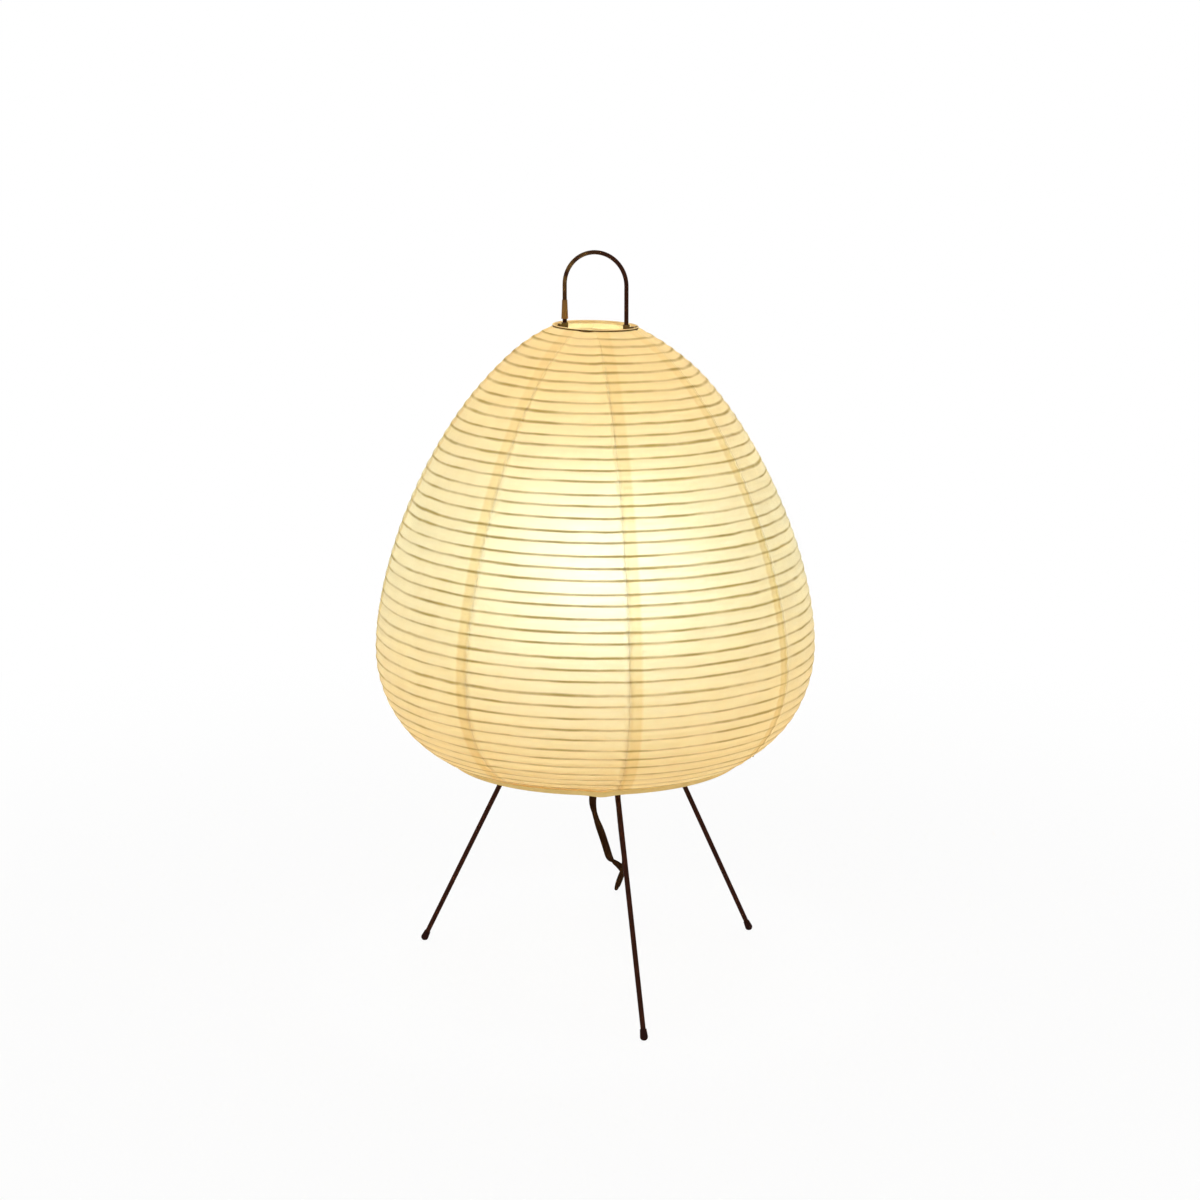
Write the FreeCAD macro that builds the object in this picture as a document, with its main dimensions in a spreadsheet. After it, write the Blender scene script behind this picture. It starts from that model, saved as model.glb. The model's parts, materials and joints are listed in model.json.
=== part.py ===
"""Paper lantern table lamp on three rod legs, in millimetres.

The lamp's axis is Z and the floor is z = 0. The side that faces -Y is its front.
"""
import FreeCAD
import Part
import Sketcher
import math
import os
import re

V = FreeCAD.Vector
UP = V(0, 0, 1)
ALONG_X = V(1, 0, 0)

# Driving sizes: millimetres, degrees and counts
SIZES = {
    # outline of the paper, from its foot edge over the belly to its top edge
    "belly_radius": 130.9,
    "belly_height": 205.3,
    "shade_top_radius": 25.3,
    "shade_top_height": 393.2,
    "shade_foot_radius": 88.5,
    "shade_foot_height": 138.2,
    "top_slope": 23.5,
    "top_reach": 64.8,
    "foot_slope": 25.4,
    "foot_reach": 32.8,
    "belly_reach_up": 58.7,
    "belly_reach_down": 26.2,
    # paper gores and the bamboo rib inside them
    "paper_thickness": 0.4,
    "glue_gap": 0.1,
    "seam_lap": 8.0,
    "gore_count": 8,
    "first_seam_angle": -80.0,
    "rib_diameter": 1.3,
    "rib_sides": 8,
    "rib_pitch": 6.96,
    "rib_start": 5.0,
    "rib_end": 4.9,
    "rib_start_angle": 94.5,
    # wire rings at the two ends of the paper
    "top_ring_wire": 1.6,
    "foot_ring_wire": 2.4,
    "ring_seat_gap": 0.3,
    # wire frame whose top is the carrying handle
    "frame_wire": 2.5,
    "frame_angle": -20.0,
    "frame_bend": 10.0,
    "handle_top_height": 437.4,
    "handle_half_width": 19.0,
    "neck_height": 300.0,
    "bow_top_height": 262.0,
    "bow_foot_height": 214.0,
    "bow_half_width": 40.0,
    "shank_height": 190.0,
    "shank_radius": 28.0,
    "shank_tail": 5.0,
    "collar_diameter": 6.0,
    "collar_height": 3.0,
    "frame_nut_flats": 5.5,
    "frame_nut_height": 2.6,
    "ferrule_foot_diameter": 4.0,
    "ferrule_top_diameter": 3.1,
    "ferrule_length": 11.0,
    "ferrule_rise": 4.0,
    "clip_diameter": 4.0,
    "clip_height": 3.6,
    "clip_arm_width": 2.2,
    "clip_arm_height": 1.6,
    "slide_gap": 0.1,
    # rod legs, their foot caps and the hub that holds them
    "foot_circle_radius": 119.5,
    "leg_lean": 26.84,
    "leg_diameter": 3.0,
    "front_leg_angle": -76.6,
    "right_leg_angle": 34.4,
    "left_leg_angle": 155.6,
    "foot_cap_diameter": 4.6,
    "foot_cap_length": 4.4,
    "cap_lip": 0.4,
    "cap_floor": 1.0,
    "cap_flat": 0.5,
    "fit": 0.05,
    "hub_height": 168.0,
    "hub_plate": 3.0,
    "hub_rim": 2.5,
    "boss_diameter": 8.0,
    "boss_length": 13.0,
    "socket_depth": 12.0,
    "set_screw_diameter": 3.0,
    "set_screw_rise": 5.0,
    # washer and stays that hold the foot ring
    "washer_radius": 12.0,
    "washer_thickness": 3.0,
    "stay_wire": 2.4,
    "stay_turn": 30.0,
    # threaded nipple, its nut and the cord grip
    "nipple_diameter": 10.0,
    "nipple_bore": 7.0,
    "nipple_tail": 8.0,
    "nipple_head": 5.0,
    "nut_flats": 14.0,
    "nut_thickness": 4.0,
    "grip_length": 32.0,
    "grip_diameter": 14.0,
    "grip_end_diameter": 8.0,
    "grip_collar": 11.0,
    "lead_diameter": 2.0,
    "lead_offset": 1.05,
    # lampholder
    "holder_radius": 20.0,
    "holder_wall": 2.5,
    "holder_floor": 4.0,
    "holder_ledge": 12.0,
    "ledge_width": 2.5,
    "base_height": 22.0,
    "skirt_height": 22.0,
    "skirt_wall": 4.5,
    "core_thickness": 8.0,
    "core_gap": 0.3,
    "thread_shell_bore": 27.2,
    "thread_shell_wall": 0.5,
    "thread_shell_height": 18.0,
    "contact_radius": 4.0,
    "contact_height": 2.0,
    "terminal_diameter": 4.0,
    "terminal_height": 4.0,
    "terminal_offset": 10.0,
    # bulb
    "tip_radius": 4.6,
    "tip_height": 2.5,
    "insulator_height": 4.0,
    "cap_diameter": 26.4,
    "cap_wall": 0.8,
    "cap_height": 17.5,
    "neck_swell": 1.0,
    "neck_length": 13.0,
    "globe_radius": 22.5,
    "globe_wall": 1.0,
    "globe_seat_radius": 12.6,
    "board_radius": 10.0,
    "board_thickness": 1.6,
    # cord, its coil and tie
    "cord_diameter": 4.5,
    "cord_end_gap": 0.2,
    "floor_gap": 0.1,
    "coil_x": 45.0,
    "coil_y": 418.5,
    "coil_radius": 33.5,
    "coil_pitch": 5.0,
    "coil_turns": 6,
    "coil_climb": 0.5,
    "coil_rise": 1.2,
    "coil_tail": 14.0,
    "tie_width": 6.0,
    "tie_wall": 0.9,
    "tie_gap": 0.3,
    # in-line switch
    "switch_x": -45.0,
    "switch_y": 408.0,
    "switch_length": 50.0,
    "switch_width": 18.0,
    "switch_height": 12.0,
    "switch_wall": 1.6,
    "switch_round": 5.0,
    "switch_edge": 1.8,
    "switch_post": 6.0,
    "switch_post_offset": 19.0,
    "switch_screw_head": 4.0,
    "switch_screw_sink": 1.5,
    "switch_screw_shank": 2.4,
    "window_length": 18.0,
    "window_width": 8.6,
    "rocker_length": 16.6,
    "rocker_width": 7.8,
    "rocker_height": 6.6,
    "rocker_tilt": 7.0,
    "rocker_depth": 2.8,
    "pin_diameter": 2.0,
    # plug
    "relief_length": 24.0,
    "relief_diameter": 11.0,
    "relief_end_diameter": 5.8,
    "plug_length": 26.0,
    "plug_width": 20.0,
    "plug_height": 16.5,
    "plug_round": 4.0,
    "plug_edge": 1.5,
    "blade_length": 15.0,
    "blade_width": 6.3,
    "blade_thickness": 1.5,
    "blade_spacing": 12.7,
}

doc = FreeCAD.newDocument("paper_lamp")
sheet = doc.addObject("Spreadsheet::Sheet", "Sizes")
for row, (alias, value) in enumerate(SIZES.items(), 1):
    sheet.set(f"A{row}", alias)
    sheet.set(f"B{row}", str(value))
    sheet.setAlias(f"B{row}", alias)
doc.recompute()

# Formulas for the heights where one piece seats on another
PLATE_FOOT = "(hub_height - hub_plate)"
WASHER_FOOT = f"({PLATE_FOOT} - washer_thickness)"
NUT_FOOT = f"({WASHER_FOOT} - nut_thickness)"
NIPPLE_FOOT = f"({NUT_FOOT} - nipple_tail)"
NIPPLE_TOP = "(hub_height + holder_floor + nipple_head)"
GRIP_FOOT = f"({NUT_FOOT} - grip_length)"
BASE_TOP = "(hub_height + base_height)"
CORE_FOOT = "(hub_height + holder_ledge)"
CORE_TOP = f"({CORE_FOOT} + core_thickness)"
BULB_FOOT = f"({CORE_TOP} + contact_height)"
TIP_TOP = f"({BULB_FOOT} + tip_height)"
INSULATOR_TOP = f"({TIP_TOP} + insulator_height)"
CAP_TOP = f"({INSULATOR_TOP} + cap_height)"
NECK_TOP = f"({CAP_TOP} + neck_length)"
GLOBE_CENTRE = f"({NECK_TOP} + sqrt(globe_radius ^ 2 - globe_seat_radius ^ 2))"
HUB_RADIUS = (f"(foot_circle_radius - {PLATE_FOOT} * tan(leg_lean)"
              " + boss_diameter / 2 / cos(leg_lean) + hub_rim)")
NIPPLE_HOLE = "(nipple_diameter / 2 + fit)"
WIRE_HOLE = "(frame_wire / 2 + fit)"
# Distances along a leg's axis from where it crosses the floor
CAP_CENTRE = "((foot_cap_diameter / 2 - cap_flat) / cos(leg_lean))"
LEG_START = f"({CAP_CENTRE} + cap_floor)"
BOSS_FOOT = f"({PLATE_FOOT} / cos(leg_lean) - boss_length)"
LEG_END = f"({BOSS_FOOT} + socket_depth)"
# Rings
TOP_RING_RADIUS = "(shade_top_radius - ring_seat_gap - top_ring_wire / 2)"
FOOT_RING_RADIUS = "(shade_foot_radius - ring_seat_gap - foot_ring_wire / 2)"
# Cord pieces on the floor
SWITCH_MIDDLE = "(floor_gap + switch_height / 2)"
PIN_LENGTH = "(switch_width - 2 * switch_wall - 2 * slide_gap)"
COIL_FLOOR = "(coil_rise + cord_diameter / 2)"
COIL_TOP = f"({COIL_FLOOR} + coil_pitch)"


def bound(formula):
    """The formula with the sheet's name put before each size that it names."""
    def lead(word):
        return "Sizes." + word[0] if word[0] in SIZES else word[0]
    return re.sub(r"[a-z_]+", lead, formula)


def size(formula):
    """Value of a formula over the sizes in the sheet."""
    return float(sheet.evalExpression(bound(formula)))


def at(x, y, z):
    """Placement that only moves."""
    return FreeCAD.Placement(V(x, y, z), FreeCAD.Rotation())


def around(angle):
    """Placement that only turns about the lamp's axis."""
    return FreeCAD.Placement(V(), FreeCAD.Rotation(UP, angle))


def solid(kind, label, placement, **formulas):
    """Primitive of the named kind with its sizes bound to the sheet."""
    item = doc.addObject("Part::" + kind, label)
    for name, formula in formulas.items():
        item.setExpression(name, bound(formula))
    item.Placement = placement
    return item


def fuse(label, pieces):
    """One solid made of several that overlap."""
    item = doc.addObject("Part::MultiFuse", label)
    item.Shapes = pieces
    return item


def cut(label, base, tools):
    """The base without the tools."""
    item = doc.addObject("Part::Cut", label)
    item.Base = base
    item.Tool = tools[0] if len(tools) == 1 else fuse(label + "_tools", tools)
    return item


def group(label, pieces):
    """Separate solids of one kind in one node."""
    item = doc.addObject("Part::Compound", label)
    item.Links = pieces
    return item


def made(label, shape):
    """Object that holds a shape worked out here."""
    item = doc.addObject("Part::Feature", label)
    item.Shape = shape
    return item


def turned(label, corners):
    """Piece turned about Z, from corners of its half section given as (radius, height) formulas."""
    body = doc.addObject("PartDesign::Body", label)
    sketch = body.newObject("Sketcher::SketchObject", label + "_section")
    plane = [item for item in body.Origin.OriginFeatures if item.Role == "XZ_Plane"][0]
    sketch.AttachmentSupport = [(plane, "")]
    sketch.MapMode = "FlatFace"
    points = [V(size(radius), size(height), 0) for radius, height in corners]
    count = len(points)
    for i in range(count):
        sketch.addGeometry(Part.LineSegment(points[i], points[(i + 1) % count]))
    for i in range(count):
        sketch.addConstraint(Sketcher.Constraint("Coincident", i, 2, (i + 1) % count, 1))
    for i, corner in enumerate(corners):
        for kind, formula in zip(("DistanceX", "DistanceY"), corner):
            rule = Sketcher.Constraint(kind, -1, 1, i, 1, size(formula))
            index = sketch.addConstraint(rule)
            name = f"{kind}{i}"
            sketch.renameConstraint(index, name)
            if formula != "0":
                sketch.setExpression(f"Constraints.{name}", bound(formula))
    spin = body.newObject("PartDesign::Revolution", label + "_turn")
    spin.Profile = sketch
    spin.ReferenceAxis = (sketch, ["V_Axis"])
    spin.Angle = 360
    return body


def rounded_block(label, block, way, side_radius, rim_radius, rims):
    """Block with its edges along one direction rounded, and smaller rounds at the named rims."""
    doc.recompute()
    rounded = doc.addObject("Part::Fillet", label)
    rounded.Base = block
    edges = []
    for i, edge in enumerate(block.Shape.Edges, 1):
        middle = edge.CenterOfMass.dot(way)
        if abs(edge.tangentAt(edge.FirstParameter).dot(way)) > 0.5:
            edges.append((i, side_radius, side_radius))
        elif any(abs(middle - rim) < 0.01 for rim in rims):
            edges.append((i, rim_radius, rim_radius))
    rounded.Edges = edges
    return rounded


def tube_section(inner, outer, foot, top):
    """Corners of a plain ring or tube."""
    return [(inner, foot), (outer, foot), (outer, top), (inner, top)]


def hex_nut(label, flats, bore, height, placement):
    """Six-sided nut with a plain bore, its foot at the placement."""
    blank = doc.addObject("Part::Prism", label + "_blank")
    blank.Polygon = 6
    blank.setExpression("Circumradius", bound(f"{flats} / 2 / cos(30)"))
    blank.setExpression("Height", bound(height))
    blank.Placement = placement
    hole = solid("Cylinder", label + "_bore", placement, Radius=bore, Height=height)
    return cut(label, blank, [hole])


def rounded_path(corners, bend_radius):
    """Straight runs between corners, joined by tangent arcs.

    bend_radius gives the arc's radius from its two runs' lengths and half of the turn.
    """
    edges = []
    radii = []
    start = corners[0]
    for before, corner, after in zip(corners, corners[1:], corners[2:]):
        back = before - corner
        ahead = after - corner
        half_turn = (math.pi - back.getAngle(ahead)) / 2
        radius = bend_radius(back.Length, ahead.Length, half_turn)
        back.normalize()
        ahead.normalize()
        reach = radius * math.tan(half_turn)
        inward = (back + ahead).normalize()
        middle = corner + inward * (radius / math.cos(half_turn) - radius)
        edges.append(Part.makeLine(start, corner + back * reach))
        edges.append(Part.Arc(corner + back * reach, middle, corner + ahead * reach).toShape())
        radii.append(radius)
        start = corner + ahead * reach
    edges.append(Part.makeLine(start, corners[-1]))
    return edges, radii


def tube(label, edges, radius, sides=0):
    """Tube along joined edges, round or with flat sides, its volume its section times its length."""
    path = Part.Wire(edges)
    first = edges[0]
    start = first.valueAt(first.FirstParameter)
    circle = Part.Circle(start, first.tangentAt(first.FirstParameter), radius)
    if sides:
        corners = [circle.value(2 * math.pi * i / sides) for i in range(sides + 1)]
        ring = Part.makePolygon(corners)
    else:
        ring = Part.Wire(circle.toShape())
    shape = path.makePipeShell([ring], True, False)
    share = shape.Volume / (Part.Face(ring).Area * path.Length)
    print(f"{label}: length {path.Length:.1f} mm, volume over section times length {share:.4f}")
    assert abs(share - 1) < 0.01, label
    return made(label, shape)


def widest_bend(before, after, half_turn):
    """Largest radius of a bend that leaves a short straight on each of its two runs."""
    return 0.45 * min(before, after) / math.tan(half_turn)


def cord_tube(label, corners):
    """Cord along hand-chosen points, each bend as wide as its runs allow."""
    edges, radii = rounded_path(corners, widest_bend)
    print(label, "bend radii", [round(radius) for radius in radii])
    return tube(label, edges, size("cord_diameter / 2"))


def corner_arc(start, corner, end):
    """Arc that touches start-corner and corner-end, two sides of one length."""
    chord_middle = (start + end) * 0.5
    half_chord = (end - start).Length / 2
    turn = (corner - start).getAngle(end - corner)
    lift = (corner - chord_middle).normalize()
    return Part.Arc(start, chord_middle + lift * half_chord * math.tan(turn / 4), end).toShape()


def biarc(start, start_way, end, end_way):
    """Two arcs that leave one point and reach another along given directions."""
    chord = end - start
    along = chord.dot(start_way + end_way)
    bend = 2 * (1 - start_way.dot(end_way))
    reach = (math.sqrt(along ** 2 + bend * chord.dot(chord)) - along) / bend
    first = start + start_way * reach
    second = end - end_way * reach
    joint = (first + second) * 0.5
    return [corner_arc(start, first, joint), corner_arc(joint, second, end)]


def wound_tube(label, point_at, turns, radius, straight, end_way=None, sides=0):
    """Unbroken wound tube on quarter-turn biarcs, with straight ends of a given length.

    point_at gives the point after a number of turns; end_way fixes the direction of both ends.
    """
    step = 0.001
    quarters = round(turns * 4)
    stops = [turns * i / quarters for i in range(quarters + 1)]
    points = [point_at(stop) for stop in stops]
    ways = [(point_at(stop + step) - point_at(stop - step)).normalize() for stop in stops]
    if end_way:
        ways[0] = V(end_way)
        ways[-1] = V(end_way)
    head = points[0] - ways[0] * straight
    tail = points[-1] + ways[-1] * straight
    edges = [Part.makeLine(head, points[0])]
    for i in range(quarters):
        edges += biarc(points[i], ways[i], points[i + 1], ways[i + 1])
    edges.append(Part.makeLine(points[-1], tail))
    per_turn = 24
    samples = [point_at(i / per_turn) for i in range(int(turns * per_turn) + 1)]
    apart = min((samples[i] - samples[j]).Length
                for i in range(len(samples)) for j in range(i + per_turn // 2, len(samples)))
    gap = apart - 2 * radius
    print(f"{label}: least gap to itself {gap:.2f} mm")
    assert gap > 0.4, label
    return tube(label, edges, radius, sides), head, tail


# The paper's outline: two Bezier spans that meet upright at the belly
def outline_spans():
    """Poles of the lower and the upper span, as (radius, height)."""
    foot = V(size("shade_foot_radius"), 0, size("shade_foot_height"))
    belly = V(size("belly_radius"), 0, size("belly_height"))
    top = V(size("shade_top_radius"), 0, size("shade_top_height"))
    foot_way = V(size("cos(foot_slope)"), 0, size("sin(foot_slope)"))
    top_way = V(size("cos(top_slope)"), 0, -size("sin(top_slope)"))
    lower = [foot, foot + foot_way * size("foot_reach"),
             belly - UP * size("belly_reach_down"), belly]
    upper = [belly, belly + UP * size("belly_reach_up"),
             top + top_way * size("top_reach"), top]
    return lower, upper


def outline_points(inset, steps):
    """Points up the paper's outline, moved by the inset towards the inside."""
    points = []
    for poles in outline_spans():
        curve = Part.BezierCurve()
        curve.setPoles(poles)
        for i in range(1 if points else 0, steps + 1):
            way = curve.getDN(i / steps, 1).normalize()
            points.append(curve.value(i / steps) + V(-way.z, 0, way.x) * inset)
    return points


OUTLINE_STEPS = 20
ARC_STEPS = 400
OUTLINE = outline_points(0, ARC_STEPS)
OUTLINE_LENGTHS = [0.0]
for below, above in zip(OUTLINE, OUTLINE[1:]):
    OUTLINE_LENGTHS.append(OUTLINE_LENGTHS[-1] + (above - below).Length)


def outline_at(length, line):
    """Point of an inset outline beside the paper's outline at a length from its foot edge."""
    above = next(i for i, reached in enumerate(OUTLINE_LENGTHS) if reached >= length)
    span = OUTLINE_LENGTHS[above] - OUTLINE_LENGTHS[above - 1]
    share = (length - OUTLINE_LENGTHS[above - 1]) / span
    return line[above - 1] + (line[above] - line[above - 1]) * share


def paper_layer(inset):
    """Whole turned sheet of paper whose outer face lies at the inset."""
    curves = []
    for depth in (inset, inset + size("paper_thickness")):
        curve = Part.BSplineCurve()
        curve.interpolate(outline_points(depth, OUTLINE_STEPS))
        curves.append(curve.toShape())
    outer, inner = curves
    ends = [Part.makeLine(outer.valueAt(edge_end(outer, i)), inner.valueAt(edge_end(inner, i)))
            for i in (0, 1)]
    section = Part.Face(Part.Wire(Part.__sortEdges__([outer, ends[0], inner, ends[1]])))
    return section.revolve(V(), UP, 360)


def edge_end(edge, which):
    """Parameter at the start or the end of an edge."""
    return edge.LastParameter if which else edge.FirstParameter


def gore_wedge(middle_angle):
    """Upright wedge with sides half a lap beyond the gore's two seams."""
    half = math.radians(180 / size("gore_count"))
    back = size("seam_lap / 2") / math.sin(half)
    reach = size("2 * belly_radius")
    foot = size("shade_foot_height / 2")
    corner = V(-back, 0, foot)
    sides = [corner + V(math.cos(half), way * math.sin(half), 0) * reach for way in (-1, 1)]
    face = Part.Face(Part.makePolygon([corner, sides[0], sides[1], corner]))
    wedge = face.extrude(UP * size("shade_top_height"))
    wedge.Placement = around(middle_angle)
    return wedge


def paper_shade():
    """Gores of paper: every other one is pasted first, and the rest lap over its edges."""
    under = size("paper_thickness + glue_gap")
    layers = [paper_layer(0), paper_layer(under)]
    count = int(size("gore_count"))
    names = []
    for i in range(count):
        middle = size("first_seam_angle") + (i + 0.5) * 360 / count
        gore = layers[i % 2].common(gore_wedge(middle))
        names.append(made(f"paper_gore_{i + 1}", gore.Solids[0]).Label)
    return names


def bamboo_rib():
    """Strip of bamboo wound up the inside of the paper at an even pitch, falling to the right.

    It has as many quarter turns as fit between its margins at the paper's two edges.
    """
    inset = size("2 * (paper_thickness + glue_gap) + rib_diameter / 2")
    line = outline_points(inset, ARC_STEPS)

    def point_at(turn):
        spot = outline_at(size("rib_start") + size("rib_pitch") * turn, line)
        angle = math.radians(size("rib_start_angle") - 360 * turn)
        return V(spot.x * math.cos(angle), spot.x * math.sin(angle), spot.z)

    wound = OUTLINE_LENGTHS[-1] - size("rib_start + rib_end")
    turns = int(4 * wound / size("rib_pitch")) / 4
    wound_tube("bamboo_rib", point_at, turns, size("rib_diameter / 2"),
               size("rib_diameter"), sides=int(size("rib_sides")))
    return ["bamboo_rib"]


def rings():
    """Wire rings that the two ends of the paper are pasted to."""
    solid("Torus", "top_ring", at(0, 0, size("shade_top_height")),
          Radius1=TOP_RING_RADIUS, Radius2="top_ring_wire / 2")
    solid("Torus", "bottom_ring", at(0, 0, size("shade_foot_height")),
          Radius1=FOOT_RING_RADIUS, Radius2="foot_ring_wire / 2")
    return ["top_ring", "bottom_ring"]


def frame_at(across, height):
    """Point in the upright plane of the wire frame."""
    return around(size("frame_angle")).multVec(V(across, 0, height))


def handle_frame():
    """One bent wire: two shanks from the hub bow out round the bulb and meet in the handle's arch."""
    half_width = size("handle_half_width")
    spring = size("handle_top_height - frame_wire / 2 - handle_half_width")
    side = [(size("shank_radius"), size(f"{PLATE_FOOT} - frame_nut_height - shank_tail")),
            (size("shank_radius"), size("shank_height")),
            (size("bow_half_width"), size("bow_foot_height")),
            (size("bow_half_width"), size("bow_top_height")),
            (half_width, size("neck_height")),
            (half_width, spring)]

    def bend(*runs):
        return min(size("frame_bend"), widest_bend(*runs))

    right, _ = rounded_path([frame_at(u, z) for u, z in side], bend)
    left, _ = rounded_path([frame_at(-u, z) for u, z in reversed(side)], bend)
    arch = Part.Arc(frame_at(half_width, spring), frame_at(0, spring + half_width),
                    frame_at(-half_width, spring)).toShape()
    tube("handle_frame", right + [arch] + left, size("frame_wire / 2"))
    return ["handle_frame"]


def frame_fittings():
    """Collars on the hub, nuts under it, and the crimped sleeve that joins the wire."""
    collars = []
    nuts = []
    for side in (-1, 1):
        foot = frame_at(side * size("shank_radius"), size("hub_height"))
        name = "left" if side < 0 else "right"
        ring = solid("Cylinder", f"collar_{name}_blank", at(*foot),
                     Radius="collar_diameter / 2", Height="collar_height")
        hole = solid("Cylinder", f"collar_{name}_bore", at(*foot),
                     Radius=WIRE_HOLE, Height="collar_height")
        collars.append(cut(f"collar_{name}", ring, [hole]))
        under = at(foot.x, foot.y, size(f"{PLATE_FOOT} - frame_nut_height"))
        nuts.append(hex_nut(f"frame_nut_{name}", "frame_nut_flats", WIRE_HOLE,
                            "frame_nut_height", under))
    group("frame_collars", collars)
    group("frame_nuts", nuts)
    foot = frame_at(-size("handle_half_width"), size("shade_top_height + ferrule_rise"))
    sleeve = solid("Cone", "ferrule_blank", at(*foot), Radius1="ferrule_foot_diameter / 2",
                   Radius2="ferrule_top_diameter / 2", Height="ferrule_length")
    hole = solid("Cylinder", "ferrule_bore", at(*foot), Radius=WIRE_HOLE, Height="ferrule_length")
    cut("frame_ferrule", sleeve, [hole])
    return ["frame_collars", "frame_nuts", "frame_ferrule"]


def ring_clips():
    """Sleeves that grip the handle's wires, each with an arm brazed to the top ring."""
    level = size("shade_top_height")
    labels = []
    for name, turn in (("right", 0), ("left", 180)):
        label = f"ring_clip_{name}"
        plane = around(size("frame_angle") + turn)
        wire = plane * at(size("handle_half_width"), 0, level - size("clip_height / 2"))
        sleeve = solid("Cylinder", label + "_sleeve", wire,
                       Radius="clip_diameter / 2", Height="clip_height")
        root = plane * at(size("handle_half_width"), -size("clip_arm_width / 2"),
                          level - size("clip_arm_height / 2"))
        arm = solid("Box", label + "_arm", root, Length=f"{TOP_RING_RADIUS} - handle_half_width",
                    Width="clip_arm_width", Height="clip_arm_height")
        bore = solid("Cylinder", label + "_bore", wire,
                     Radius="frame_wire / 2 + slide_gap", Height="clip_height")
        seat = solid("Torus", label + "_seat", at(0, 0, level),
                     Radius1=TOP_RING_RADIUS, Radius2="top_ring_wire / 2 + fit")
        cut(label, fuse(label + "_blank", [sleeve, arm]), [bore, seat])
        labels.append(label)
    return labels


LEGS = {"front": "front_leg_angle", "right": "right_leg_angle", "left": "left_leg_angle"}


def leg_axis(angle):
    """Placement with Z up a leg's axis from the floor, and X out of the lamp."""
    turn = FreeCAD.Rotation(UP, size(angle))
    lean = FreeCAD.Rotation(V(0, 1, 0), -size("leg_lean"))
    return FreeCAD.Placement(turn.multVec(V(size("foot_circle_radius"), 0, 0)), turn * lean)


def up_leg(angle, distance):
    """Placement on a leg's axis at a distance from the floor."""
    return leg_axis(angle) * at(0, 0, size(distance))


def legs():
    """Rods, each in a drop-shaped rubber cap that is worn flat on the floor."""
    labels = []
    for name, angle in LEGS.items():
        solid("Cylinder", f"leg_{name}", up_leg(angle, LEG_START),
              Radius="leg_diameter / 2", Height=f"{LEG_END} - {LEG_START}")
        label = f"foot_cap_{name}"
        toe = solid("Sphere", label + "_toe", up_leg(angle, CAP_CENTRE),
                    Radius="foot_cap_diameter / 2")
        sleeve = solid("Cone", label + "_sleeve", up_leg(angle, CAP_CENTRE),
                       Radius1="foot_cap_diameter / 2", Radius2="leg_diameter / 2 + cap_lip",
                       Height="foot_cap_length")
        bore = solid("Cylinder", label + "_bore", up_leg(angle, LEG_START),
                     Radius="leg_diameter / 2 + fit", Height="foot_cap_length")
        spot = leg_axis(angle).Base
        block = size("2 * foot_cap_diameter")
        floor = solid("Box", label + "_floor", at(spot.x - block / 2, spot.y - block / 2, -block),
                      Length="2 * foot_cap_diameter", Width="2 * foot_cap_diameter",
                      Height="2 * foot_cap_diameter")
        cut(label, fuse(label + "_blank", [toe, sleeve]), [bore, floor])
        labels += [f"leg_{name}", label]
    return labels


def leg_hub():
    """Plate with three slanted sockets for the legs, drilled for the nipple and the frame."""
    blank = turned("hub_blank", tube_section(NIPPLE_HOLE, HUB_RADIUS, PLATE_FOOT, "hub_height"))
    bosses = []
    holes = [solid("Cylinder", "hub_trim", at(0, 0, size("hub_height")),
                   Radius=f"2 * {HUB_RADIUS}", Height="boss_length")]
    screws = []
    side = FreeCAD.Rotation(V(0, 1, 0), 90)
    for name, angle in LEGS.items():
        foot = up_leg(angle, BOSS_FOOT)
        bosses.append(solid("Cylinder", f"boss_{name}", foot, Radius="boss_diameter / 2",
                            Height="boss_length + hub_plate / cos(leg_lean)"))
        holes.append(solid("Cylinder", f"socket_{name}", foot, Radius="leg_diameter / 2 + fit",
                           Height="socket_depth"))
        reach = size("leg_diameter / 2 + fit")
        spot = foot * FreeCAD.Placement(V(reach, 0, size("set_screw_rise")), side)
        holes.append(solid("Cylinder", f"screw_hole_{name}", spot,
                           Radius="set_screw_diameter / 2 + fit", Height="boss_diameter"))
        screws.append(solid("Cylinder", f"set_screw_{name}", spot,
                            Radius="set_screw_diameter / 2",
                            Height="boss_diameter / 2 - leg_diameter / 2 - fit"))
    for side_name, way in (("left", -1), ("right", 1)):
        foot = frame_at(way * size("shank_radius"), size(PLATE_FOOT))
        holes.append(solid("Cylinder", f"shank_hole_{side_name}", at(*foot),
                           Radius=WIRE_HOLE, Height="hub_plate"))
    cut("leg_hub", fuse("hub_bossed", [blank] + bosses), holes)
    group("leg_set_screws", screws)
    return ["leg_hub", "leg_set_screws"]


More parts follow.
